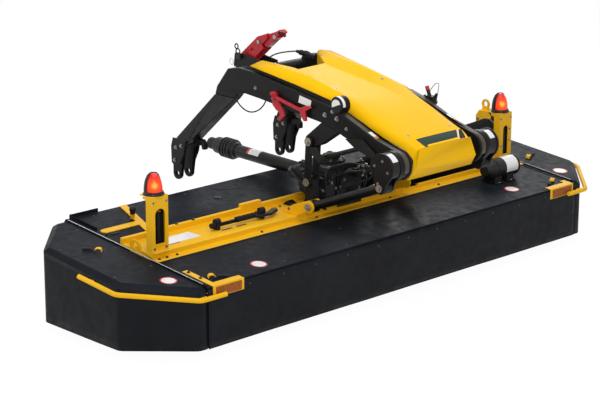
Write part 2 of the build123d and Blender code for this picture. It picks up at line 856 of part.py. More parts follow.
with BuildPart() as gearbox:
    with BuildSketch(Plane.XY.offset(gearbox_bottom_z)):
        with Locations((0, (gearbox_front_y + gearbox_rear_y) / 2)):
            RectangleRounded(2 * gearbox_half, gearbox_rear_y - gearbox_front_y, 40)
    extrude(amount=gearbox_top_z - gearbox_bottom_z)
    with Locations((0, behind(-20), beam_top_z)):
        Box(
            2 * gearbox_half - 60,
            200,
            gearbox_bottom_z - beam_top_z + 10,
            align=(Align.CENTER, Align.CENTER, Align.MIN),
        )
    with Locations((0, behind(20), gearbox_top_z)):
        Cylinder(gear_lid_radius, gear_lid_height, align=(Align.CENTER, Align.CENTER, Align.MIN))
        Cylinder(gear_lid_radius - 34, gear_lid_height + 26, align=(Align.CENTER, Align.CENTER, Align.MIN))
    with Locations(Plane.XZ.offset(-gearbox_front_y) * Location((0, pto_z))):
        Cylinder(gear_lid_radius, 26, align=(Align.CENTER, Align.CENTER, Align.MIN))
gearbox.part.label = "gearbox"

pto_start_y = gearbox_rear_y
pto_end_y = behind(1000)
pto_end_z = 592
pto_cone_length = 170
pto_tube_radius = 38
pto_cone_radius = 62
yoke_radius = 36
yoke_length = 96
yoke_bore = 17.5        # radius of the 1 3/8 inch splined bore's envelope
pto_plane = Plane(
    origin=(0, pto_start_y, pto_z),
    x_dir=(1, 0, 0),
    z_dir=(0, pto_end_y - pto_start_y, pto_end_z - pto_z),
)
pto_length = ((pto_end_y - pto_start_y) ** 2 + (pto_end_z - pto_z) ** 2) ** 0.5

with BuildPart() as pto_guard:
    with BuildSketch(pto_plane):
        Circle(pto_tube_radius + 24)
    extrude(amount=120)
    with BuildSketch(pto_plane.offset(120)):
        Circle(pto_tube_radius)
    extrude(amount=pto_length - 120 - pto_cone_length)
    split(bisect_by=Plane.XZ.offset(-gearbox_rear_y), keep=Keep.BOTTOM)
    with BuildSketch(pto_plane.offset(pto_length - pto_cone_length)):
        Circle(pto_cone_radius)
    extrude(amount=pto_cone_length)
    with BuildSketch(pto_plane.offset(pto_length - pto_cone_length + 20)):
        Circle(pto_cone_radius - 6)
    extrude(amount=pto_cone_length, mode=Mode.SUBTRACT)
pto_guard.part.label = "pto_guard"

with BuildPart() as pto_yoke:
    with BuildSketch(pto_plane.offset(pto_length - pto_cone_length + 20 + fit)):
        Circle(yoke_radius - 6)
    extrude(amount=pto_cone_length - 40)
    with BuildSketch(pto_plane.offset(pto_length - 30)):
        Circle(yoke_radius)
    extrude(amount=yoke_length)
    with BuildSketch(pto_plane.offset(pto_length - 30 + yoke_length - 76)):
        Circle(yoke_bore)
    extrude(amount=80, mode=Mode.SUBTRACT)
pto_yoke.part.label = "pto_yoke"

shaft_run = ((housing_x - gearbox_half) ** 2 + (cross_shaft_far_z - cross_shaft_near_z) ** 2) ** 0.5
shaft_plane = Plane(
    origin=(gearbox_half, cross_shaft_y, cross_shaft_near_z),
    x_dir=(0, 1, 0),
    z_dir=(housing_x - gearbox_half, 0, cross_shaft_far_z - cross_shaft_near_z),
)
ring_pitch = 34
ring_depth = 6

with BuildPart() as drive_shaft_guard:
    with BuildSketch(shaft_plane.offset(-10)):
        Circle(shaft_guard_radius)
    extrude(amount=shaft_run + 20)
    for start, ring_count in ((-12, 6), (shaft_run - 7.6 * ring_pitch, 8)):
        for ring in range(ring_count):
            with BuildSketch(shaft_plane.offset(start + ring_pitch * ring)):
                Circle(bellows_radius - ring_depth * (ring % 2))
            extrude(amount=ring_pitch)
    split(bisect_by=Plane.YZ.offset(gearbox_half), keep=Keep.TOP)
    split(bisect_by=Plane.YZ.offset(housing_x), keep=Keep.BOTTOM)
drive_shaft_guard.part.label = "drive_shaft_guard"

with BuildPart() as end_drive_housing:
    with BuildSketch(Plane.YZ.offset(housing_x)):
        outline(
            (behind(-30), beam_top_z),
            (beam_rim_y - 2, beam_top_z),
            (beam_rim_y - 2, 715),
            (behind(60), housing_top_z),
            (behind(0), housing_top_z),
            (behind(-30), 722),
        )
    extrude(amount=housing_width)
end_drive_housing.part.label = "end_drive_housing"

with BuildPart() as lifting_eye:
    with BuildSketch(Plane.YZ.offset(housing_x + 10)):
        outline(
            (behind(0), housing_top_z),
            (behind(60), housing_top_z),
            (behind(52), housing_top_z + 42),
            (behind(10), housing_top_z + 42),
        )
        with Locations((behind(31), housing_top_z + 45)):
            Circle(30)
            Circle(16, mode=Mode.SUBTRACT)
    extrude(amount=12)
lifting_eye.part.label = "lifting_eye"

# ---- lamp posts with their lamps
post_width = 112
post_height = 300
post_depth = 50
post_wall = 5
lamp_radius = 48
lamp_base_height = 18
post_y = behind(-148)
lamp_skirt = 10
lamp_wall_height = 52
post_xs = (-(beam_half - 58), beam_half - 132)
post_slots = (66, 42)    # widths of their slots

with BuildPart() as light_posts:
    for post_x, post_slot_width in zip(post_xs, post_slots):
        with BuildSketch(Plane.XY.offset(beam_top_z)):
            with Locations((post_x, post_y)):
                Rectangle(post_width, post_depth, align=(Align.CENTER, Align.MIN))
            with Locations((post_x, post_y + post_wall)):
                Rectangle(
                    post_width - 2 * post_wall,
                    post_depth,
                    align=(Align.CENTER, Align.MIN),
                    mode=Mode.SUBTRACT,
                )
        extrude(amount=post_height)
        with BuildSketch(Plane.XZ.offset(-post_y - 2 * post_wall)):
            with Locations((post_x, beam_top_z + 46)):
                Rectangle(post_slot_width, 156, align=(Align.CENTER, Align.MIN))
            with Locations((post_x, beam_top_z + 46 + 156)):
                Circle(post_slot_width / 2)
        extrude(amount=4 * post_wall, mode=Mode.SUBTRACT)
        with Locations((post_x, post_y, beam_top_z + post_height)):
            Box(post_width, 2 * post_depth, post_wall, align=(Align.CENTER, Align.MIN, Align.MIN))
light_posts.part.label = "light_posts"

lamp_y = post_y + post_depth

with BuildPart() as lamp_bases:
    for post_x in post_xs:
        with Locations((post_x, lamp_y, beam_top_z + post_height + post_wall)):
            Cylinder(lamp_radius + lamp_skirt, lamp_base_height, align=(Align.CENTER, Align.CENTER, Align.MIN))
lamp_bases.part.label = "lamp_bases"

with BuildPart() as lamp_lenses:
    for post_x in post_xs:
        lens_z = beam_top_z + post_height + post_wall + lamp_base_height
        with Locations((post_x, lamp_y, lens_z)):
            Cylinder(lamp_radius, lamp_wall_height, align=(Align.CENTER, Align.CENTER, Align.MIN))
        with Locations((post_x, lamp_y, lens_z + lamp_wall_height)):
            Sphere(lamp_radius, arc_size1=0, align=(Align.CENTER, Align.CENTER, Align.MIN))
lamp_lenses.part.label = "lamp_lenses"

# ---- guard tubes on the end covers, corner brackets with reflectors, document tube
guard_radius = 13
guard_out = 24
guard_drop = 44
guard_front_gap = 22
guard_tab_width = 36
guard_tab_wall = 6
guard_points = [
    (end_x + guard_out, behind(-17)),
    (end_x + guard_out, behind(end_front_y) - 14),
    (front_corner_x + 14, front_y - guard_front_gap - guard_radius),
    (hinge_x - 100, front_y - guard_front_gap - guard_radius),
]

with BuildPart() as guard_tube_right:
    with BuildLine(deck_plane.offset(-guard_drop)) as guard_line:
        FilletPolyline(*[(x, y - front_y) for x, y in guard_points], radius=60)
    with BuildSketch(Plane(origin=guard_line.line @ 0, z_dir=guard_line.line % 0)):
        Circle(guard_radius)
    sweep()
    with Locations((end_x, behind(-95), deck_z(behind(-95)) - guard_drop)):
        Box(guard_out, guard_tab_width, guard_tab_wall, align=(Align.MIN, Align.CENTER, Align.CENTER))
    with Locations((front_corner_x - 24, front_y, front_edge_z - guard_drop)):
        Box(
            guard_tab_width,
            guard_front_gap + guard_radius,
            guard_tab_wall,
            align=(Align.CENTER, Align.MAX, Align.CENTER),
        )
guard_tube_left = mirrored(guard_tube_right)
guard_tube_right.part.label = "guard_tube_right"
guard_tube_left.part.label = "guard_tube_left"

bracket_wall = 5
bracket_width = 40
bracket_x = cover_half - hinge_leaf_width - seam
bracket_length = 240
bracket_arm = 250
reflector_length = 170
reflector_height = 60

with BuildPart() as corner_brackets:
    with BuildSketch(Plane.YZ.offset(bracket_x - bracket_width)):
        outline(
            (front_y - curtain_wall - bracket_wall, front_edge_z - 58),
            (front_y - curtain_wall, front_edge_z - 58),
            (front_y - curtain_wall, front_edge_z),
            (front_y, front_edge_z),
            (front_y + bracket_arm, deck_z(front_y + bracket_arm)),
            (front_y + bracket_arm, deck_z(front_y + bracket_arm) + bracket_wall),
            (front_y, front_edge_z + bracket_wall),
            (front_y - curtain_wall - bracket_wall, front_edge_z + bracket_wall),
        )
    extrude(amount=bracket_width)
    with BuildSketch(Plane.YZ.offset(bracket_x - bracket_length)):
        outline(
            (front_y - curtain_wall - bracket_wall, front_edge_z - 58),
            (front_y - curtain_wall, front_edge_z - 58),
            (front_y - curtain_wall, front_edge_z),
            (front_y, front_edge_z),
            (front_y + 34, deck_z(front_y + 34)),
            (front_y + 34, deck_z(front_y + 34) + bracket_wall),
            (front_y, front_edge_z + bracket_wall),
            (front_y - curtain_wall - bracket_wall, front_edge_z + bracket_wall),
        )
    extrude(amount=bracket_length - bracket_width)
    mirror(about=Plane.YZ)
corner_brackets.part.label = "corner_brackets"

with BuildPart() as reflectors:
    for side in (-1, 1):
        with Locations((
            side * (bracket_x - bracket_length / 2),
            front_y - curtain_wall - bracket_wall,
            front_edge_z - reflector_height + 4,
        )):
            Box(reflector_length, 3, reflector_height - 6, align=(Align.CENTER, Align.MAX, Align.MIN))
reflectors.part.label = "reflectors"

tube_x = 1122
tube_length = 270
tube_radius = 64
tube_y = behind(-295)
tube_z = deck_z(tube_y) + tube_radius + 14

with BuildPart() as document_tube:
    with Locations(Plane.YZ.offset(tube_x) * Location((tube_y, tube_z))):
        Cylinder(tube_radius, tube_length)
    with Locations((tube_x, tube_y, deck_z(tube_y - 40))):
        Box(120, 80, 40, align=(Align.CENTER, Align.CENTER, Align.MIN))
    split(bisect_by=deck_plane.offset(0.1), keep=Keep.TOP)
document_tube.part.label = "document_tube"

# ---- hood over the arms
hood_wall = 4
hood_sections = [
    # y, lower edge half width and z, fold half width and z, valley half width and z
    (behind(353), 322, 1227, 236, 1244, 140, 1234),
    (behind(0), 302, 1172, 212, 1212, 112, 1176),
    (behind(-300), 286, 1118, 222, 1148, 120, 1131),
    (behind(-412), 276, 1072, 219, 1108, 117, 1112),
    (behind(-700), 270, 962, 212, 998, 112, 1000),
    (behind(-790), 270, 916, 207, 970, 110, 972),
    (behind(-822), 270, 800, 204, 960, 108, 961),
    (behind(-853), 262, 868, 192, 950, 100, 951),
    (behind(-862), 244, 892, 152, 944, 80, 945),
]
nose_sections = 2       # the last of these close the nose
nose_setback = 4
notch_front_y = behind(198)
notch_front_half = 112
notch_rear_half = 216
notch_floor_z = 1166


def hood_face(y, low_half, low_z, fold_half, fold_z, valley_half, valley_z, inset, drop):
    """One upright section across the hood, drawn in by an inset with its lower edge dropped."""
    with BuildSketch(Plane.XZ.offset(-y)) as face:
        outline(
            (-low_half + inset, low_z - drop),
            (-fold_half + inset, fold_z - inset),
            (-valley_half + inset, valley_z - inset),
            (valley_half - inset, valley_z - inset),
            (fold_half - inset, fold_z - inset),
            (low_half - inset, low_z - drop),
        )
    return face.sketch


def notch_face(growth):
    """The outline of the notch at the hood's rear from above, grown on all sides."""
    with BuildSketch(Plane.XY.offset(notch_floor_z)) as face:
        outline(
            (-notch_front_half - growth, notch_front_y - growth),
            (notch_front_half + growth, notch_front_y - growth),
            (notch_rear_half + growth, hood_sections[0][0] + 1),
            (-notch_rear_half - growth, hood_sections[0][0] + 1),
        )
    return face.sketch


hood_faces = [hood_face(*section, 0, 0) for section in hood_sections]
hollow_faces = [hood_face(*section, hood_wall, 1) for section in hood_sections[:-nose_sections]]
nose_y, *nose_sizes = hood_sections[-nose_sections]
hollow_faces.append(hood_face(nose_y + nose_setback, *nose_sizes, hood_wall, -4))

with BuildPart() as notch_walls:
    loft(hood_faces, ruled=True)
    extrude(notch_face(hood_wall), amount=200, mode=Mode.INTERSECT)

with BuildPart() as hood:
    loft(hood_faces, ruled=True)
    loft(hollow_faces, ruled=True, mode=Mode.SUBTRACT)
    add(notch_walls.part)
    extrude(notch_face(0).moved(Location((0, 0, -20))), amount=220, mode=Mode.SUBTRACT)
    for neighbour in (arm_right, arm_left, cross_tubes, pivot_drums):
        add(neighbour.part, mode=Mode.SUBTRACT)
hood.part.label = "hood"

# ---- yellow braces on the rear cover with their knob holders
brace_wall = 7
brace_width = 46
brace_rear_x = 1085
brace_front_x = 1238
brace_front_y = beam_rear_y + 4
strip_y = behind(322)
strip_outer_x = 1442
strip_width = 52
knob_radius = 16
knob_height = 44

with BuildPart() as rear_braces:
    with BuildSketch(deck_plane):
        outline(*[
            (x, (y - front_y) / cos(deck_angle))
            for x, y in (
                (brace_rear_x - brace_width / 2, rear_y - 8),
                (brace_rear_x + brace_width / 2, rear_y - 8),
                (brace_front_x + brace_width / 2, brace_front_y),
                (brace_front_x - brace_width / 2, brace_front_y),
            )
        ])
        with Locations(((strip_outer_x + brace_front_x) / 2 - 40, (strip_y - front_y) / cos(deck_angle))):
            SlotOverall(strip_outer_x - brace_front_x + 90, strip_width)
    extrude(amount=brace_wall)
    with Locations((1172, behind(392), deck_z(behind(392)) + 3)):
        Cylinder(knob_radius - 4, knob_height, align=(Align.CENTER, Align.CENTER, Align.MIN))
    with Locations((1172, behind(392), deck_z(behind(392)) + knob_height + knob_radius - 4)):
        Sphere(knob_radius)
    mirror(about=Plane.YZ)
rear_braces.part.label = "rear_braces"

# ---- stowed stay on the beam's left half
stay_radius = 11
stay_z = beam_top_z + 24
stay_rear_x = -640
stay_front_x = -978
stay_y = behind(-44)
fork_wall = 16

with BuildPart() as stowed_stay:
    with Locations(Plane.YZ.offset(stay_front_x) * Location((stay_y, stay_z))):
        Cylinder(stay_radius, stay_rear_x - stay_front_x, align=(Align.CENTER, Align.CENTER, Align.MIN))
    with BuildSketch(Plane.XY.offset(stay_z - fork_wall / 2)):
        outline(
            (-668, behind(-66)),
            (-640, behind(-82)),
            (-560, behind(-84)),
            (-488, behind(-52)),
            (-476, behind(-18)),
            (-494, behind(-14)),
            (-566, behind(-46)),
            (-640, behind(-28)),
            (-668, behind(-28)),
        )
    extrude(amount=fork_wall)
    with Locations((-610, stay_y, beam_top_z), (-940, stay_y, beam_top_z)):
        Box(24, 40, stay_z - beam_top_z + 26, align=(Align.CENTER, Align.CENTER, Align.MIN))
stowed_stay.part.label = "stowed_stay"

# ---- rubber latches with their hooks: on the front cover's corners and on the end covers
latch_width = 30
latch_hook_length = 44
latch_grip_length = 66
latch_height = 24


def latch_spots(x, y, turn):
    """Where a latch's hook and its grip stand on the deck."""
    spot = deck_plane * Location((x, (y - front_y) / cos(deck_angle), 0), turn)
    return spot, spot * Location((latch_hook_length, 0, 0))


with BuildPart() as cover_latches:
    hook_spot, grip_spot = latch_spots(1402, behind(-492), 205)
    with Locations(hook_spot):
        Box(latch_hook_length, latch_width, latch_height, align=(Align.MIN, Align.CENTER, Align.MIN))
    with Locations(grip_spot):
        Box(latch_grip_length, latch_width - 8, latch_height - 8, align=(Align.MIN, Align.CENTER, Align.MIN))
    mirror(about=Plane.YZ)
cover_latches.part.label = "cover_latches"

end_latches = []
for latch_label, latch_x, latch_y, latch_turn in (
    ("end_latch_left", -1620, behind(96), 130),
    ("end_latch_right", 1596, behind(-128), 20),
):
    hook_spot, grip_spot = latch_spots(latch_x, latch_y, latch_turn)
    with BuildPart() as end_latch:
        with Locations(hook_spot):
            Box(latch_hook_length, latch_width, latch_height, align=(Align.MIN, Align.CENTER, Align.MIN))
        with Locations(grip_spot):
            Box(latch_grip_length, latch_width - 8, latch_height - 8, align=(Align.MIN, Align.CENTER, Align.MIN))
    end_latch.part.label = latch_label
    end_latches.append(end_latch)

# ---- cables of the lamps' plug and between the legs
cable_radius = 4
plug_radius = 14
plug_start = (188, behind(505), 1222)
plug_end = (213, behind(340), 1203)
cable_routes = {
    "cable_upper": [
        (mast_plate_x + mast_wall + fit, behind(655), 1165),
        (88, behind(655), 1165),
        (120, behind(625), 1195),
        (155, behind(562), 1215),
        plug_start,
    ],
    "cable_loop": [
        (-arm_inner_x + fit, behind(600), 1040),
        (-240, behind(600), 1040),
        (-208, behind(610), 985),
        (-180, behind(592), 925),
        (-150, behind(545), 893),
        (-120, behind(490), 915),
        (-100, behind(455), 975),
        (-88, behind(470), 1040),
        (-88, behind(510.8), 1080.8),
    ],
}


def bend_radii(route):
    """The radius at each inner point of a route, as large as its two runs allow."""
    radii = []
    for before, here, after in zip(route, route[1:], route[2:]):
        run_in = Vector(*here) - Vector(*before)
        run_out = Vector(*after) - Vector(*here)
        turn = radians(run_in.get_angle(run_out))
        radii.append(0.45 * min(run_in.length, run_out.length) / tan(turn / 2))
    return radii


cables = []
for cable_label, route in cable_routes.items():
    radii = bend_radii(route)
    with BuildPart() as cable:
        with BuildLine() as cable_line:
            FilletPolyline(*route, radius=radii)
        with BuildSketch(Plane(origin=cable_line.line @ 0, z_dir=cable_line.line % 0)):
            Circle(cable_radius)
        sweep()
    cable.part.label = cable_label
    cables.append(cable)
    cable_length = sum(edge.length for edge in cable_line.edges())
    share = cable.part.volume / (pi * cable_radius**2 * cable_length)
    print(cable_label, "length", round(cable_length), "radii", [round(r) for r in radii])
    print(cable_label, "volume over section times length", round(share, 3))

plug_plane = Plane(origin=plug_start, z_dir=Vector(*plug_end) - Vector(*plug_start))

with BuildPart() as cable_connector:
    with BuildSketch(plug_plane.offset(1)):
        Circle(plug_radius - 4)
    extrude(amount=200)
    with BuildSketch(plug_plane.offset(30)):
        Circle(plug_radius)
    extrude(amount=76)
    split(bisect_by=Plane.XZ.offset(-hood_sections[0][0] - fit), keep=Keep.BOTTOM)
cable_connector.part.label = "cable_connector"

pieces = [cutter_bar, skid_shoes, *discs, main_beam, front_cover, rear_cover, front_curtain, rear_curtain]
pieces += [end_cover_right, end_cover_left, end_curtain_right, end_curtain_left]
pieces += [hinge_rods, side_frames, conditioner_rotor, conditioner_hood]
pieces += [arm_right, arm_left, leg_right, leg_left, cross_tubes, mast, top_link_hook]
pieces += [pivot_drums, pull_links, link_brackets, lift_levers, lift_links, gear_stand, gearbox]
pieces += [pto_guard, pto_yoke, drive_shaft_guard, end_drive_housing, lifting_eye]
pieces += [light_posts, lamp_bases, lamp_lenses, guard_tube_right, guard_tube_left]
pieces += [corner_brackets, reflectors, document_tube, hood, lock_hook, rear_braces, stowed_stay]
pieces += [cover_latches, *end_latches, *cables, cable_connector]

os.makedirs("parts", exist_ok=True)
for piece in pieces:
    export_step(piece.part, f"parts/{piece.part.label}.step")
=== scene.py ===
import json
import math

import bmesh
import bpy
from mathutils import Matrix, Vector


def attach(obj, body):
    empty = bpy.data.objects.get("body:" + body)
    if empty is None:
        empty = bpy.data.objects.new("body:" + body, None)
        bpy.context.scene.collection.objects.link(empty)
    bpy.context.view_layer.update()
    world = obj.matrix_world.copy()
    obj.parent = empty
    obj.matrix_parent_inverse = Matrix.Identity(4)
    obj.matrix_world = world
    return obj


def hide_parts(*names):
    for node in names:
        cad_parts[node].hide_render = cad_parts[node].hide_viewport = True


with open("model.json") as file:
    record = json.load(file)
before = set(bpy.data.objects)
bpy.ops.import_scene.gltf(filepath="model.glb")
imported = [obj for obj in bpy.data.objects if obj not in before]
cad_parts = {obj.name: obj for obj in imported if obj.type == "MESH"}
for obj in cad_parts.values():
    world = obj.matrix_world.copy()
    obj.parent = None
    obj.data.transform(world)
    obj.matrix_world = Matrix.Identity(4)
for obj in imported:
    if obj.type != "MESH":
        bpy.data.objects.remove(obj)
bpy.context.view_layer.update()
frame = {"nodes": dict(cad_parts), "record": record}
nodes = frame["nodes"]
bodyOf = {n: body for body, members in frame["record"]["behaviour"]["bodies"].items() for n in members}
print("frame loaded:", len(nodes), "nodes")

# places shared by the pieces, in metres
deckSizes = {
    "middleY": -0.095,
    "halfDepth": 0.593,
    "frontZ": 0.390,
    "rearZ": 0.500,
    "coverHalf": 1.4875,
    "beamTopZ": 0.468,
}
deckRise = (deckSizes["rearZ"] - deckSizes["frontZ"]) / (2 * deckSizes["halfDepth"])
deckTilt = math.atan(deckRise)
deckUp = Vector((0, -math.sin(deckTilt), math.cos(deckTilt)))
upward = Vector((0, 0, 1))


def behind(distance):
    return deckSizes["middleY"] + distance


def at(x, back, z):
    return Vector((x, behind(back), z))


def deckZ(y):
    return deckSizes["frontZ"] + (y - deckSizes["middleY"] + deckSizes["halfDepth"]) * deckRise


def onDeck(x, back, lift=0.0):
    y = behind(back)
    return Vector((x, y, deckZ(y))) + deckUp * lift


def deckFrame(x, back, turn=0.0, lift=0.0):
    place = Matrix.Translation(onDeck(x, back, lift))
    return place @ Matrix.Rotation(deckTilt, 4, "X") @ Matrix.Rotation(math.radians(turn), 4, "Z")


frontY = behind(-deckSizes["halfDepth"])
rearY = behind(deckSizes["halfDepth"])

# finishes

finishDefaults = {
    "vary": 0.08, "driftScale": 3.0, "grainScale": 260.0, "smearScale": 22.0,
    "dustAndSheen": 0.0, "dustAndSheenScale": 14.0, "dustAndSheenColor": (0.22, 0.2, 0.17),
    "edgeHighlight": 0.0, "edgeHighlightColor": (0.3, 0.29, 0.28), "edgeHighlightSpan": (0.54, 0.62),
    "roughness": 0.4, "roughnessSpread": 0.06, "bump": 0.15, "bumpDepth": 0.0004,
    "wave": 0.0, "waveDepth": 0.004, "waveScale": 5.0,
    "metallic": 0.0, "coat": 0.0, "coatRoughness": 0.08, "specular": 0.5,
}
# where the slow noise, the upward faces and the dust and painted sheen spots begin and end to count
noiseSpan, upSpan, spotSpan = (0.3, 0.7), (0.2, 0.95), (0.38, 0.72)
black, white = (0, 0, 0), (1, 1, 1)


def makeFinish(name, chosen):
    sizes = {**finishDefaults, **chosen}
    material = bpy.data.materials.new(name)
    material.use_nodes = True
    tree = material.node_tree
    shader = tree.nodes["Principled BSDF"]
    coordinates = tree.nodes.new("ShaderNodeTexCoord")

    def noiseAt(scale, detail):
        noise = tree.nodes.new("ShaderNodeTexNoise")
        noise.inputs["Scale"].default_value = scale
        noise.inputs["Detail"].default_value = detail
        tree.links.new(coordinates.outputs["Object"], noise.inputs["Vector"])
        return noise.outputs["Fac"]

    def rampOf(source, span, lowColor, highColor):
        ramp = tree.nodes.new("ShaderNodeValToRGB")
        for stop, position, color in zip(ramp.color_ramp.elements, span, (lowColor, highColor)):
            stop.position = position
            stop.color = (*color, 1)
        tree.links.new(source, ramp.inputs["Fac"])
        return ramp.outputs["Color"]

    def mixOf(factor, a, color):
        mix = tree.nodes.new("ShaderNodeMix")
        mix.data_type = "RGBA"
        mix.inputs["B"].default_value = (*color, 1)
        tree.links.new(factor, mix.inputs["Factor"])
        tree.links.new(a, mix.inputs["A"])
        return mix.outputs["Result"]

    def bumpOf(height, strength, depth, under=None):
        bump = tree.nodes.new("ShaderNodeBump")
        bump.inputs["Strength"].default_value = strength
        bump.inputs["Distance"].default_value = depth
        tree.links.new(height, bump.inputs["Height"])
        if under:
            tree.links.new(under, bump.inputs["Normal"])
        return bump.outputs["Normal"]

    # slow drift of the colour over the piece
    low = [c * (1 - sizes["vary"]) for c in sizes["color"]]
    high = [min(1, c * (1 + sizes["vary"])) for c in sizes["color"]]
    tone = rampOf(noiseAt(sizes["driftScale"], 4), noiseSpan, low, high)

    # dust or hay bloom on faces that look up; on the deck paint it is a painted sheen instead, a paler tone of the
    # paint's own colour in spots
    if sizes["dustAndSheen"]:
        apart = tree.nodes.new("ShaderNodeSeparateXYZ")
        tree.links.new(coordinates.outputs["Normal"], apart.inputs["Vector"])
        up = rampOf(apart.outputs["Z"], upSpan, black, (sizes["dustAndSheen"],) * 3)
        spots = rampOf(noiseAt(sizes["dustAndSheenScale"], 8), spotSpan, black, white)
        both = tree.nodes.new("ShaderNodeMix")
        both.data_type = "RGBA"
        both.blend_type = "MULTIPLY"
        both.inputs["Factor"].default_value = 1
        tree.links.new(up, both.inputs["A"])
        tree.links.new(spots, both.inputs["B"])
        tone = mixOf(both.outputs["Result"], tone, sizes["dustAndSheenColor"])

    # painted highlight: a paler tone on sharp edges, where rounded edges would catch the light
    if sizes["edgeHighlight"]:
        edgeGeometry = tree.nodes.new("ShaderNodeNewGeometry")
        edge = rampOf(edgeGeometry.outputs["Pointiness"], sizes["edgeHighlightSpan"], black, (sizes["edgeHighlight"],) * 3)
        tone = mixOf(edge, tone, sizes["edgeHighlightColor"])
    tree.links.new(tone, shader.inputs["Base Color"])

    rough = tree.nodes.new("ShaderNodeMapRange")
    rough.inputs["From Min"].default_value, rough.inputs["From Max"].default_value = noiseSpan
    rough.inputs["To Min"].default_value = max(0.02, sizes["roughness"] - sizes["roughnessSpread"])
    rough.inputs["To Max"].default_value = min(1, sizes["roughness"] + sizes["roughnessSpread"])
    tree.links.new(noiseAt(sizes["smearScale"], 6), rough.inputs["Value"])
    tree.links.new(rough.outputs["Result"], shader.inputs["Roughness"])

    normal = bumpOf(noiseAt(sizes["grainScale"], 5), sizes["bump"], sizes["bumpDepth"])
    if sizes["wave"]:
        normal = bumpOf(noiseAt(sizes["waveScale"], 2), sizes["wave"], sizes["waveDepth"], normal)
    tree.links.new(normal, shader.inputs["Normal"])

    shader.inputs["Metallic"].default_value = sizes["metallic"]
    shader.inputs["Coat Weight"].default_value = sizes["coat"]
    shader.inputs["Coat Roughness"].default_value = sizes["coatRoughness"]
    shader.inputs["Specular IOR Level"].default_value = sizes["specular"]
    return material


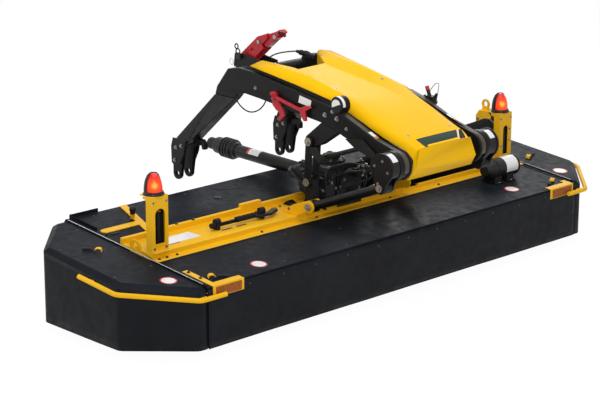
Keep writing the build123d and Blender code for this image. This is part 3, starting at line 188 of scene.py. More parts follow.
finishSizes = {
    "hoodYellow": {
        "color": (0.96, 0.535, 0.004), "vary": 0.03, "driftScale": 2.0, "roughness": 0.42, "bump": 0.04,
        "specular": 0.055, "wave": 0.03, "waveScale": 3.0,
    },
    "frameYellow": {
        "color": (0.92, 0.5, 0.008), "vary": 0.06, "roughness": 0.38, "bump": 0.1, "specular": 0.1,
        # the paler tone on sharp edges is a painted edge highlight
        "dustAndSheen": 0.08, "dustAndSheenColor": (0.7, 0.45, 0.08), "edgeHighlight": 0.3, "edgeHighlightColor": (0.95, 0.62, 0.15),
    },
    "deckPaint": {
        "color": (0.0092, 0.0116, 0.0165), "vary": 0.25, "driftScale": 2.4, "roughness": 0.42,
        # the paler spots on its upward faces, in the paint's own hue, are a painted sheen
        "roughnessSpread": 0.1, "bump": 0.12, "specular": 0.03, "dustAndSheen": 0.16, "dustAndSheenColor": (0.06, 0.062, 0.066),
        "dustAndSheenScale": 3.5, "wave": 0.04, "waveScale": 2.0,
    },
    "curtainCloth": {
        "color": (0.0078, 0.0086, 0.0112), "vary": 0.25, "driftScale": 5.0, "roughness": 0.5,
        "roughnessSpread": 0.12, "specular": 0.1, "grainScale": 700.0, "bump": 0.35, "wave": 0.35,
        "waveScale": 9.0, "waveDepth": 0.006,
    },
    "framePaint": {
        "color": (0.005, 0.005, 0.0057), "vary": 0.2, "roughness": 0.36, "roughnessSpread": 0.1, "bump": 0.12,
        # the paler tone on sharp edges is a painted edge highlight
        "specular": 0.12, "dustAndSheen": 0.12, "dustAndSheenColor": (0.07, 0.06, 0.045), "edgeHighlight": 0.3,
        "edgeHighlightColor": (0.12, 0.115, 0.11),
    },
    "castIron": {
        "color": (0.014, 0.014, 0.015), "specular": 0.2, "vary": 0.25, "roughness": 0.6, "grainScale": 320.0,
        "bump": 0.6, "bumpDepth": 0.0008, "dustAndSheen": 0.2, "dustAndSheenColor": (0.12, 0.1, 0.08),
    },
    "redPaint": {
        "color": (0.46, 0.008, 0.018), "vary": 0.12, "roughness": 0.32, "coat": 0.1, "specular": 0.3,
        # the paler tone on sharp edges is a painted edge highlight
        "bump": 0.08, "edgeHighlight": 0.4, "edgeHighlightColor": (0.6, 0.12, 0.1),
    },
    "moldedPlastic": {
        "color": (0.01, 0.01, 0.011), "specular": 0.2, "vary": 0.15, "roughness": 0.45, "grainScale": 600.0,
        "bump": 0.3, "dustAndSheen": 0.18, "dustAndSheenColor": (0.1, 0.09, 0.075),
    },
    "rubber": {
        "color": (0.01, 0.01, 0.01), "specular": 0.15, "vary": 0.2, "roughness": 0.58, "grainScale": 420.0,
        "bump": 0.35, "dustAndSheen": 0.15, "dustAndSheenColor": (0.09, 0.08, 0.07),
    },
    "zincPlate": {
        "color": (0.3, 0.295, 0.28), "vary": 0.15, "driftScale": 30.0, "roughness": 0.32, "metallic": 1.0,
        "bump": 0.15,
    },
    "wornSteel": {
        "color": (0.3, 0.27, 0.24), "vary": 0.35, "driftScale": 12.0, "roughness": 0.42,
        "roughnessSpread": 0.16, "metallic": 0.9, "bump": 0.35,
    },
    "lensRed": {
        "color": (0.3, 0.012, 0.004), "vary": 0.1, "driftScale": 20.0, "roughness": 0.16, "grainScale": 90.0,
        "bump": 0.1, "coat": 0.1, "specular": 0.25,
    },
    "reflectorAmber": {
        "color": (0.33, 0.1, 0.02), "vary": 0.2, "driftScale": 60.0, "roughness": 0.3, "specular": 0.1,
        "grainScale": 150.0, "bump": 0.5,
    },
    "labelWhite": {
        "color": (0.86, 0.86, 0.85), "vary": 0.03, "roughness": 0.35, "coat": 0.3, "bump": 0.04,
    },
    "signRed": {
        "color": (0.62, 0.012, 0.02), "vary": 0.06, "roughness": 0.35, "coat": 0.3, "bump": 0.04,
    },
    "darkSteel": {
        "color": (0.16, 0.155, 0.15), "vary": 0.25, "driftScale": 25.0, "roughness": 0.4, "metallic": 0.9,
        "bump": 0.2,
    },
    "screwBlack": {
        "color": (0.03, 0.03, 0.032), "vary": 0.1, "roughness": 0.4, "specular": 0.3, "bump": 0.1,
    },
    "stripBrown": {
        "color": (0.055, 0.043, 0.028), "vary": 0.3, "driftScale": 12.0, "roughness": 0.4, "specular": 0.3,
        # the paler tone on sharp edges is a painted edge highlight
        "bump": 0.15, "edgeHighlight": 0.5, "edgeHighlightColor": (0.3, 0.24, 0.15),
    },
    "labelOrange": {
        "color": (0.85, 0.18, 0.02), "vary": 0.06, "roughness": 0.35, "coat": 0.3, "bump": 0.04,
    },
    "bandGreen": {
        "color": (0.022, 0.05, 0.038), "vary": 0.08, "roughness": 0.35, "specular": 0.08, "bump": 0.03,
    },
    "bandBlack": {
        "color": (0.01, 0.01, 0.011), "vary": 0.08, "roughness": 0.35, "specular": 0.08, "bump": 0.03,
    },
}
finishes = {name: makeFinish(name, sizes) for name, sizes in finishSizes.items()}
print("finishes made:", len(finishes))

# shaping helpers


def boxAt(bm, center, size, turn=None):
    matrix = Matrix.Translation(Vector(center)) @ (turn or Matrix.Identity(4)) @ Matrix.Diagonal((*size, 1))
    bmesh.ops.create_cube(bm, size=1, matrix=matrix)


def rodAt(bm, start, end, radius, endRadius=None, segments=24):
    start, end = Vector(start), Vector(end)
    along = end - start
    matrix = Matrix.Translation((start + end) / 2) @ along.to_track_quat("Z", "Y").to_matrix().to_4x4()
    bmesh.ops.create_cone(
        bm, cap_ends=True, segments=segments, radius1=radius,
        radius2=radius if endRadius is None else endRadius, depth=along.length, matrix=matrix,
    )


def thickPlate(bm, points, depth):
    face = bm.faces.new([bm.verts.new(p) for p in points])
    moved = bmesh.ops.extrude_face_region(bm, geom=[face])["geom"]
    bmesh.ops.translate(bm, vec=depth, verts=[v for v in moved if isinstance(v, bmesh.types.BMVert)])


def sidePlate(bm, x, points, thickness):
    # points: behind the middle, z; the plate stands across the machine
    thickPlate(bm, [at(x, back, z) for back, z in points], Vector((thickness, 0, 0)))


def turnProfile(bm, start, toward, profile, steps=36, closed=False):
    # profile: (along the axis, radius), from start to the far end
    start, toward = Vector(start), Vector(toward)
    axis = (toward - start).normalized()
    out = axis.orthogonal().normalized()
    verts = [bm.verts.new(start + axis * along + out * radius) for along, radius in profile]
    pairs = list(zip(verts, verts[1:])) + ([(verts[-1], verts[0])] if closed else [])
    edges = [bm.edges.new(pair) for pair in pairs]
    bmesh.ops.spin(
        bm, geom=verts + edges, cent=start, axis=axis, angle=math.tau, steps=steps, use_merge=True,
    )
    bmesh.ops.remove_doubles(bm, verts=bm.verts, dist=0.00001)


def loftRings(bm, rings, closed=True, capped=False):
    # each ring's edges are extruded and moved to the next ring's places
    verts = [bm.verts.new(p) for p in rings[0]]
    pairs = list(zip(verts, verts[1:])) + ([(verts[-1], verts[0])] if closed else [])
    edges = [bm.edges.new(pair) for pair in pairs]
    rows = [verts]
    for ring in rings[1:]:
        made = bmesh.ops.extrude_edge_only(bm, edges=edges)["geom"]
        newVerts = [v for v in made if isinstance(v, bmesh.types.BMVert)]
        edges = [e for e in made if isinstance(e, bmesh.types.BMEdge)]
        before = {v: i for i, v in enumerate(rows[-1])}
        placed = [None] * len(ring)
        for v in newVerts:
            old = next(e.other_vert(v) for e in v.link_edges if e.other_vert(v) in before)
            placed[before[old]] = v
        edges = [e for e in edges if all(v in placed for v in e.verts)]
        for v, p in zip(placed, ring):
            v.co = p
        rows.append(placed)
    if capped:
        bm.faces.new(rows[0])
        bm.faces.new(rows[-1])
    return rows


def bentLine(points, reachOf, shares):
    # the corners of a line are drawn as short arcs
    line = [points[0]]
    for before, here, after in zip(points, points[1:], points[2:]):
        into, out = here - before, after - here
        start = here - into.normalized() * reachOf(into, out)
        stop = here + out.normalized() * reachOf(into, out)
        line += [start.lerp(here, t).lerp(here.lerp(stop, t), t) for t in shares]
    return line + [points[-1]]


def bendPipe(bm, corners, radius, bend=0.030, sides=12):
    # straight runs with short arcs at the corners, closed at both ends
    line = bentLine(
        [Vector(p) for p in corners],
        lambda into, out: min(bend, into.length / 2.2, out.length / 2.2), [k / 4 for k in range(5)],
    )
    rings = []
    across = (line[1] - line[0]).orthogonal().normalized()
    turns = [math.tau * k / sides for k in range(sides)]
    for i, p in enumerate(line):
        along = (line[min(i + 1, len(line) - 1)] - line[max(i - 1, 0)]).normalized()
        across = (across - along * across.dot(along)).normalized()
        up = along.cross(across)
        rings.append([p + (across * math.cos(turn) + up * math.sin(turn)) * radius for turn in turns])
    loftRings(bm, rings, capped=True)


def boltAt(bm, place, direction, radius=0.010):
    # washer and hexagon head
    place, direction = Vector(place), Vector(direction).normalized()
    washer = place + direction * radius * 0.2
    rodAt(bm, place, washer, radius * 1.25, segments=18)
    rodAt(bm, washer, washer + direction * radius * 0.9, radius * 0.85, radius * 0.8, 6)


def screwAt(bm, place, direction, radius=0.008):
    place, direction = Vector(place), Vector(direction).normalized()
    rodAt(bm, place, place + direction * radius * 0.5, radius, radius * 0.55, 16)


def signAt(bm, corners, normal):
    # a thin film just off the face that carries it
    lift, thickness = 0.0004, 0.0008
    normal = Vector(normal).normalized()
    thickPlate(bm, [Vector(p) + normal * lift for p in corners], normal * thickness)


def finishPiece(bm, name, finish, body="mower", stands=(), bevel=0.0, smooth=38):
    bmesh.ops.recalc_face_normals(bm, faces=bm.faces)
    mesh = bpy.data.meshes.new(name)
    bm.to_mesh(mesh)
    bm.free()
    piece = bpy.data.objects.new(name, mesh)
    bpy.context.scene.collection.objects.link(piece)
    mesh.materials.append(finishes[finish])
    mesh.shade_smooth()
    mesh.set_sharp_from_angle(angle=math.radians(smooth))
    if bevel:
        rounding = piece.modifiers.new("edges", "BEVEL")
        rounding.width = bevel
        rounding.segments = 2
        rounding.limit_method = "ANGLE"
        rounding.angle_limit = math.radians(32)
        rounding.use_clamp_overlap = False
        rounding.harden_normals = True
    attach(piece, body)
    if stands:
        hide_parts(*stands)
    return piece


def giveWall(piece, thickness, offset):
    wall = piece.modifiers.new("wall", "SOLIDIFY")
    wall.thickness = thickness
    wall.offset = offset


def wrapLabel(name, start, along, radius, span, arc, finish, columns=10):
    # a label wrapped on a round piece, between two lengths and two turns
    along = Vector(along).normalized()
    out = (upward - along * along.z).normalized()
    side = along.cross(out)
    lines = []
    for i in range(columns + 1):
        turn = math.radians(arc[0] + (arc[1] - arc[0]) * i / columns)
        ray = out * math.cos(turn) + side * math.sin(turn)
        lines.append([start + along * s + ray * radius for s in span])
    bm = bmesh.new()
    loftRings(bm, lines, closed=False)
    finishPiece(bm, name, finish, smooth=60)


# hood: a moulded shell over both arms

hoodSizes = {
    "wall": 0.004,
    "foldRounding": 0.020,
    "rows": [
        # behind the middle, lower edge x z, fold x z, panel edge x z
        (0.353, 0.322, 1.227, 0.236, 1.244, 0.216, 1.242),
        (0.198, 0.3132, 1.2028, 0.2255, 1.230, 0.118, 1.2085),
        (0.000, 0.302, 1.172, 0.212, 1.212, 0.112, 1.176),
        (-0.150, 0.294, 1.145, 0.217, 1.181, 0.116, 1.154),
        (-0.300, 0.286, 1.118, 0.222, 1.148, 0.120, 1.131),
        (-0.412, 0.2735, 1.060, 0.219, 1.108, 0.117, 1.112),
        (-0.560, 0.2725, 1.000, 0.2156, 1.054, 0.1146, 1.057),
        (-0.700, 0.270, 0.938, 0.212, 0.998, 0.112, 1.000),
        (-0.790, 0.266, 0.874, 0.210, 0.966, 0.110, 0.969),
        (-0.822, 0.257, 0.772, 0.208, 0.948, 0.108, 0.953),
        (-0.856, 0.240, 0.836, 0.200, 0.932, 0.100, 0.937),
    ],
    "notchFloorZ": 1.168,
    "screws": [(0.185, 0.290), (0.185, -0.200), (0.165, -0.735)],
    "screwRadius": 0.009,
    "filmLift": 0.0012,
    "bands": {
        # corners: across, behind the middle
        "Green": ("bandGreen", [(-0.158, -0.782), (0.172, -0.782), (0.106, -0.853), (-0.146, -0.853)]),
        "Line": ("labelWhite", [(0.176, -0.782), (0.185, -0.782), (0.119, -0.853), (0.110, -0.853)]),
        "Black": ("bandBlack", [(0.189, -0.782), (0.206, -0.788), (0.178, -0.846), (0.123, -0.853)]),
    },
}


def makeHood(sizes):
    bm = bmesh.new()
    rings = []
    for back, lowX, lowZ, foldX, foldZ, panelX, panelZ in sizes["rows"]:
        y = behind(back)
        right = [(lowX, y, lowZ), (foldX, y, foldZ), (panelX, y, panelZ)]
        left = [(-x, y, z) for x, y, z in reversed(right)]
        rings.append(right + left)
    rows = loftRings(bm, rings, closed=False)
    # the front panel, in two steps down to the lower lip
    bm.faces.new((rows[-2][0], rows[-1][0], rows[-1][5], rows[-2][5]))
    bm.faces.new(rows[-1])
    # the notch at the rear, with its walls
    gap = next(f for f in bm.faces if {rows[0][2], rows[0][3], rows[1][2], rows[1][3]} == set(f.verts))
    bmesh.ops.delete(bm, geom=[gap], context="FACES_ONLY")
    dead = bm.edges.get((rows[0][2], rows[0][3]))
    if dead:
        bm.edges.remove(dead)
    notch = [rows[0][2], rows[1][2], rows[1][3], rows[0][3]]
    wallEdges = [bm.edges.get(pair) for pair in zip(notch, notch[1:])]
    walls = bmesh.ops.extrude_edge_only(bm, edges=wallEdges)["geom"]
    for v in walls:
        if isinstance(v, bmesh.types.BMVert):
            v.co.z = sizes["notchFloorZ"]
    folds = []
    for column in (1, 4, 2, 3):
        for before, after in zip(rows, rows[1:]):
            edge = bm.edges.get((before[column], after[column]))
            if edge and len(edge.link_faces) == 2:
                folds.append(edge)
    last = rows[-1]
    nose = [bm.edges.get(pair) for pair in zip(last, last[1:])] + [bm.edges.get((last[0], last[5]))]
    nose += [bm.edges.get((rows[-2][c], last[c])) for c in (0, 5)]
    bmesh.ops.bevel(
        bm, geom=list({e for e in folds + nose if e}), offset=sizes["foldRounding"], offset_type="OFFSET",
        affect="EDGES", segments=4, profile=0.5, material=-1, clamp_overlap=True,
    )
    hood = finishPiece(bm, "hoodShell", "hoodYellow", "mower", ["hood"], smooth=60)
    giveWall(hood, sizes["wall"], -1)
    return hood


hoodShell = makeHood(hoodSizes)


def onHood(x, y, lift=0.0):
    # the hood's outer surface under a point, by a ray from above
    bpy.context.view_layer.update()
    surface = hoodShell.evaluated_get(bpy.context.evaluated_depsgraph_get())
    _, place, normal, _ = surface.ray_cast(Vector((x, y, 2.0)), -upward)
    return place + normal * lift, normal


def hoodPatch(bm, corners, columns=10, rows=3):
    # a thin film laid on the hood between four corners seen from above
    a, b, c, d = (Vector(corner) for corner in corners)
    lines = []
    for i in range(columns + 1):
        front, rear = a.lerp(b, i / columns), d.lerp(c, i / columns)
        places = [front.lerp(rear, j / rows) for j in range(rows + 1)]
        lines.append([onHood(x, y, hoodSizes["filmLift"])[0] for x, y in places])
    loftRings(bm, lines, closed=False)


for part, (finish, corners) in hoodSizes["bands"].items():
    bm = bmesh.new()
    hoodPatch(bm, [(x, behind(back)) for x, back in corners])
    finishPiece(bm, "hoodBand" + part, finish, "mower")

bm = bmesh.new()
for x, back in hoodSizes["screws"]:
    for side in (-1, 1):
        place, normal = onHood(side * x, behind(back))
        screwAt(bm, place, normal, hoodSizes["screwRadius"])
finishPiece(bm, "hoodScrews", "zincPlate", "mower")
print("hood made")

# curtains: heavy sheets that hang from the covers

curtainSizes = {
    "wall": 0.004,
    "middle": 0.0025,  # of the sheet, in front of the cover's edge
    "bottomZ": 0.060,
    "lap": 0.012,
    "ripple": 0.0022,
    "waves": [(5.1, 0.0, 1.0), (11.3, 1.7, 0.6), (23.0, 0.4, 0.35)],  # pitch, shift, share
    "straightShare": 0.4,
    "endShare": 0.35,
    "gap": 0.0008,
    "columns": 150,
    "rows": 10,
}


def ripple(along, down):
    # slow hanging waves, stronger towards the hem
    wave = sum(share * math.sin(along * pitch + shift) for pitch, shift, share in curtainSizes["waves"])
    return curtainSizes["ripple"] * wave * (0.25 + 0.75 * down)


def makeStraightCurtain(name, y, outward, topZ):
    sizes = curtainSizes
    half, rows, columns = deckSizes["coverHalf"], sizes["rows"], sizes["columns"]
    lines = []
    for i in range(columns + 1):
        x = -half + 2 * half * i / columns
        line = []
        for j in range(rows + 1):
            down = j / rows
            wave = ripple(x, down) * sizes["straightShare"] if down > 0.05 else 0
            line.append((x, y + outward * sizes["gap"] + wave, topZ - (topZ - sizes["bottomZ"]) * down))
        lines.append(line)
    bm = bmesh.new()
    loftRings(bm, lines, closed=False)
    made = finishPiece(bm, name + "_hung", "curtainCloth", "mower", [name], smooth=80)
    giveWall(made, sizes["wall"], 0)


makeStraightCurtain(
    "front_curtain", frontY - curtainSizes["middle"], -1, deckSizes["frontZ"] - curtainSizes["lap"],
)
makeStraightCurtain("rear_curtain", rearY + curtainSizes["middle"], 1, deckSizes["rearZ"] - curtainSizes["lap"])

endSizes = {
    # outline from above: outer edge, corners of the chamfers
    "endX": 1.842,
    "frontCornerX": 1.544,
    "rearCornerX": 1.570,
    "frontBack": -0.304,
    "rearBack": 0.319,
    "innerX": 1.4925,
    "inset": 0.0028,
    "cornerRounding": 0.022,
    "step": 0.06,  # between the sheet's columns
    "rows": 8,
    "rimDrop": 0.0225,  # the sheet starts this far under the cover's face
    # the laps behind the middle curtains
    "lapX": 1.4885,
    "lapInset": 0.0085,
    "lapBack": 0.585,
    "lapDrop": 0.034,
    "lapWidth": 0.032,
    "lapWall": 0.004,
}


def makeEndCurtain(side):
    # panels round the end cover, bent at its corners, hemmed below
    sizes, bottom = endSizes, curtainSizes["bottomZ"]
    front, rear, outerX = frontY + sizes["inset"], rearY - sizes["inset"], sizes["endX"] - sizes["inset"]
    path = [Vector((x, y, 0)) for x, y in (
        (sizes["innerX"], front), (sizes["frontCornerX"], front), (outerX, behind(sizes["frontBack"])),
        (outerX, behind(sizes["rearBack"])), (sizes["rearCornerX"], rear), (sizes["innerX"], rear),
    )]
    line = [path[0]]

    def runTo(stop):
        steps = max(2, round((stop - line[-1]).length / sizes["step"]))
        line.extend([line[-1].lerp(stop, i / steps) for i in range(1, steps + 1)])

    for before, here, after in zip(path, path[1:], path[2:]):  # the bends are short arcs
        start = here - (here - before).normalized() * sizes["cornerRounding"]
        stop = here + (after - here).normalized() * sizes["cornerRounding"]
        runTo(start)
        line += [start.lerp(here, t).lerp(here.lerp(stop, t), t) for t in (0.25, 0.5, 0.75)]
        line.append(stop)
    runTo(path[-1])
    lines = []
    run = 0.0
    middle = Vector((0, behind(0), 0))
    for i, p in enumerate(line):
        if i:
            run += (p - line[i - 1]).length
        top = deckZ(p.y) - sizes["rimDrop"]
        inward = (middle - p).normalized()
        column = []
        for j in range(sizes["rows"] + 1):
            down = j / sizes["rows"]
            place = p + inward * ripple(run + side, down) * curtainSizes["endShare"]
            column.append((side * place.x, place.y, top - (top - bottom) * down))
        lines.append(column)
    bm = bmesh.new()
    loftRings(bm, lines, closed=False)
    name, body = ("end_curtain_right", "end_right") if side > 0 else ("end_curtain_left", "end_left")
    made = finishPiece(bm, name + "_hung", "curtainCloth", body, [name], smooth=80)
    giveWall(made, curtainSizes["wall"], 0)
    # laps behind the middle curtains close the hinge gap
    bm = bmesh.new()
    for y, inward in ((frontY, 1), (rearY, -1)):
        top = deckZ(behind(-inward * sizes["lapBack"])) - sizes["lapDrop"]
        center = (side * sizes["lapX"], y + inward * sizes["lapInset"], (top + bottom) / 2)
        boxAt(bm, center, (sizes["lapWidth"], sizes["lapWall"], top - bottom))
    finishPiece(bm, name + "_lap", "rubber", body, bevel=0.001)


for side in (-1, 1):
    makeEndCurtain(side)
print("curtains made")

# end walls of the middle covers, seen over the sloping rims, and the bright hinge wires

hingeSizes = {
    "wallX": 1.4855, "wall": 0.003, "top": 0.004, "shallow": 0.030, "deep": 0.056, "edge": 0.0035, "step": 0.013,
    "wireX": 1.490, "wireRise": 0.0082, "wireRadius": 0.0033, "wireEnd": 0.035,
}


def makeHinges(sizes):
    walls, wires = bmesh.new(), bmesh.new()
    edges, steps = [(frontY + d, rearY - d) for d in (sizes["edge"], sizes["step"])]
    corners = [
        (edges[0], sizes["top"]), (edges[1], sizes["top"]), (edges[1], sizes["shallow"]),
        (steps[1], sizes["shallow"]), (steps[1], sizes["deep"]), (steps[0], sizes["deep"]),
        (steps[0], sizes["shallow"]), (edges[0], sizes["shallow"]),
    ]
    for side in (-1, 1):
        outline = [(side * sizes["wallX"], y, deckZ(y) - drop) for y, drop in corners]
        thickPlate(walls, outline, Vector((-side * sizes["wall"], 0, 0)))
        wireX = side * sizes["wireX"]
        ends = [
            (
            wireX, y, deckZ(y) + sizes["wireRise"]) for y in (frontY + sizes["wireEnd"], rearY - sizes["wireEnd"])
        ]
        rodAt(wires, *ends, sizes["wireRadius"], segments=16)
    finishPiece(walls, "deckEndWalls", "deckPaint", "mower")
    finishPiece(wires, "hingeWires", "zincPlate", "mower")


makeHinges(hingeSizes)

# round signs, cover screws, seams and the latches

signSizes = {
    "radius": 0.046,
    "ring": 0.0085,
    "lift": 0.0012,
    "steps": 48,
    "places": {
        # name: x, behind the middle, body
        "signEndLeft": (-1.592, -0.406, "end_left"),
        "signFrontLeft": (-1.046, -0.497, "mower"),
        "signFrontRight": (1.057, -0.454, "mower"),
        "signEndRight": (1.590, -0.395, "end_right"),
    },
}


def makeSigns(sizes):
    inner = sizes["radius"] - sizes["ring"]
    for name, (x, back, body) in sizes["places"].items():
        place = deckFrame(x, back, 0, sizes["lift"])
        bm = bmesh.new()
        bmesh.ops.create_circle(bm, cap_ends=True, segments=sizes["steps"], radius=inner, matrix=place)
        finishPiece(bm, name, "labelWhite", body)
        bm = bmesh.new()
        verts = [bm.verts.new(place @ Vector((radius, 0, 0))) for radius in (inner, sizes["radius"])]
        bmesh.ops.spin(
            bm, geom=verts + [bm.edges.new(verts)], cent=place.translation, axis=place.to_3x3() @ upward,
            angle=math.tau, steps=sizes["steps"], use_merge=True,
        )
        finishPiece(bm, name + "Ring", "signRed", body)


makeSigns(signSizes)

screwSizes = {
    "covers": {
        # x, behind the middle
        "mower": [
            (-0.905, -0.545), (-0.45, -0.555), (0.0, -0.555), (0.45, -0.555), (0.905, -0.545),
            (-1.32, 0.545), (-0.98, 0.553), (-0.66, 0.545), (-0.22, 0.553),
            (0.22, 0.553), (0.66, 0.545), (0.98, 0.553), (1.32, 0.545),
            (-0.670, 0.359), (0.670, 0.359), (-0.620, -0.250), (0.620, -0.250), (-0.30, -0.36), (0.30, -0.36),
            (-1.05, 0.20), (1.05, 0.20),
        ],
        "end_left": [
            (-1.535, -0.20), (-1.535, 0.10), (-1.535, 0.42), (-1.79, -0.22), (-1.79, 0.24), (-1.62, 0.50),
        ],
        "end_right": [(1.535, -0.20), (1.535, 0.10), (1.535, 0.42), (1.79, -0.22), (1.79, 0.24), (1.62, 0.50)],
    },
    "radius": 0.0075,
    # the clamps of the curtains
    "clampRadius": 0.006,
    "clampRow": (-1.44, 0.24, 13),  # first x, pitch, count
    "clampOut": 0.0052,
    "frontZ": 0.352,
    "rearZ": 0.462,
}
for body, places in screwSizes["covers"].items():
    bm = bmesh.new()
    for x, back in places:
        screwAt(bm, onDeck(x, back), deckUp, screwSizes["radius"])
    if body == "mower":
        first, pitch, count = screwSizes["clampRow"]
        clamps = ((frontY - screwSizes["clampOut"], screwSizes["frontZ"], -1),
                  (rearY + screwSizes["clampOut"], screwSizes["rearZ"], 1))
        for y, z, outward in clamps:
            for i in range(count):
                screwAt(bm, (first + pitch * i, y, z), (0, outward, 0), screwSizes["clampRadius"])
    finishPiece(bm, "coverScrews_" + body, "screwBlack", body)

hatchSizes = {
    "width": 0.005,
    "height": 0.0016,
    "seam": [(0.440, 0.585), (0.455, 0.497), (0.371, 0.469), (0.251, 0.458), (0.235, 0.585)],
    "lock": (0.54, 0.397),
    "lockProfile": [
        (0, 0), (0, 0.021), (0.003, 0.021), (0.0045, 0.017), (0.0035, 0.009), (0.006, 0.007), (0.006, 0),
    ],
}
seams, locks = bmesh.new(), bmesh.new()
for side in (-1, 1):
    line = [onDeck(side * x, back) for x, back in hatchSizes["seam"]]
    for a, b in zip(line, line[1:]):
        across = deckUp.cross(b - a).normalized() * hatchSizes["width"] / 2
        thickPlate(seams, [a + across, b + across, b - across, a - across], deckUp * hatchSizes["height"])
    # quarter turn locks of the hatches
    x, back = hatchSizes["lock"]
    turnProfile(locks, onDeck(side * x, back), onDeck(side * x, back, 0.1), hatchSizes["lockProfile"], 28)
finishPiece(seams, "rearCoverHatchSeam", "rubber", "mower")
finishPiece(locks, "hatchLocks", "moldedPlastic", "mower", smooth=30)

# slots and black knobs of the rear braces

braceSizes = {
    "knob": (1.172, 0.392),
    "ball": (0.057, 0.0185),  # height, radius
    "neck": (0.030, 0.044, 0.0145),  # from, to, radius
    "slot": [(1.369, 0.261), (1.421, 0.261), (1.425, 0.268), (1.421, 0.275), (1.369, 0.275), (1.365, 0.268)],
    "slotLift": 0.0052,
    "slotHeight": 0.0008,
    "bolt": (1.455, 0.268, 0.005, 0.007),
}
bm, marks = bmesh.new(), bmesh.new()
for side in (-1, 1):
    knobX, knobBack = braceSizes["knob"]
    foot = onDeck(side * knobX, knobBack)
    height, radius = braceSizes["ball"]
    place = Matrix.Translation(foot + upward * height)
    bmesh.ops.create_uvsphere(bm, u_segments=28, v_segments=16, radius=radius, matrix=place)
    low, high, radius = braceSizes["neck"]
    rodAt(bm, foot + upward * low, foot + upward * high, radius, segments=20)
    corners = [onDeck(side * x, back, braceSizes["slotLift"]) for x, back in braceSizes["slot"]]
    thickPlate(marks, corners, deckUp * braceSizes["slotHeight"])
    x, back, lift, radius = braceSizes["bolt"]
    boltAt(marks, onDeck(side * x, back, lift), deckUp, radius)
finishPiece(bm, "braceKnobs", "moldedPlastic", "mower", smooth=60)
finishPiece(marks, "braceSlots", "bandBlack", "mower")

latchSizes = {
    "width": 0.026,
    "lift": 0.0005,
    # along, height: the hook's outer arch, and how its inner side follows
    "arch": [
        (0.002, 0.001), (0.003, 0.012), (0.008, 0.019), (0.017, 0.0215), (0.028, 0.0205), (0.037, 0.016),
        (0.043, 0.009),
    ],
    "innerShare": 0.86,
    "innerShift": 0.0030,
    "innerDrop": 0.0032,
    "lowest": 0.0006,
    # along, half width, low, high: waist, then a rounded handle with a cross end
    "grip": [
        (0.036, 0.007, 0.003, 0.010), (0.050, 0.006, 0.003, 0.011), (0.062, 0.0095, 0.002, 0.0145),
        (0.092, 0.0100, 0.002, 0.0150), (0.100, 0.0135, 0.002, 0.0140), (0.108, 0.0125, 0.003, 0.0120),
    ],
    "places": {
        # name: x, behind the middle, turn, body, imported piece
        "coverLatch": (1.402, -0.492, 205, "mower", "cover_latches"),
        "endLatchLeft": (-1.620, 0.096, 130, "end_left", "end_latch_left"),
        "endLatchRight": (1.596, -0.128, 20, "end_right", "end_latch_right"),
    },
}


def makeLatch(name, x, back, turn, body, node, sizes=latchSizes):
    here = deckFrame(x, back, turn, sizes["lift"])
    places = [here, Matrix.Scale(-1, 4, (1, 0, 0)) @ here] if node == "cover_latches" else [here]
    hook, grip = bmesh.new(), bmesh.new()
    inner = [
        (a * sizes["innerShare"] + sizes["innerShift"], h - sizes["innerDrop"]) for a, h in reversed(sizes["arch"])
    ]
    shell = [(a, max(sizes["lowest"], h)) for a, h in sizes["arch"] + inner]
    for place in places:
        outline = [place @ Vector((a, -sizes["width"] / 2, h)) for a, h in shell]
        thickPlate(hook, outline, place.to_3x3() @ Vector((0, sizes["width"], 0)))
        rings = []
        for along, half, low, high in sizes["grip"]:
            turns = [math.tau * k / 12 for k in range(12)]
            rings.append([
                place @ Vector((along, half * math.cos(t), (low + high) / 2 + (high - low) / 2 * math.sin(t)))
                for t in turns
            ])
        loftRings(grip, rings, capped=True)
    finishPiece(hook, name + "Hook", "frameYellow", body, [node], bevel=0.0008)
    finishPiece(grip, name + "Grip", "rubber", body, smooth=60)


for name, sizes in latchSizes["places"].items():
    makeLatch(name, *sizes)
print("deck details made")

# warning lamps: bell shaped lens with a painted glow on the side that faces the camera, a black shield behind

lampSizes = {
    "places": {"Left": -1.424, "Right": 1.350},
    "back": -0.098,
    "skirtZ": 0.773,
    "lensZ": 0.791,
    "lens": [
        (0.0, 0.047), (0.018, 0.0465), (0.045, 0.043), (0.064, 0.038), (0.080, 0.029), (0.092, 0.016),
        (0.098, 0.0),
    ],
    "shieldArc": (-5, 185),
    "shieldGap": 0.0035,
    "shieldWall": 0.002,
    "shieldTop": 0.03,  # the shield also stands off upwards where the lens is slimmer than this
    "skirt": [(0, 0), (0, 0.0575), (0.006, 0.0575), (0.008, 0.054), (0.0165, 0.052), (0.018, 0.050), (0.018, 0)],
    "screws": (4, 0.0545, 0.007, 0.0032),  # count, ring, height, radius
    # the painted glow: side it lies on in degrees from +X, how far out, how high
    "spot": (238, 0.040, 0.036),
    "spotStops": [
        (0.006, (1.0, 0.50, 0.04, 1)), (0.021, (1.0, 0.085, 0.006, 1)), (0.050, (0.50, 0.008, 0.004, 1)),
    ],
    "glow": 1.15,
}


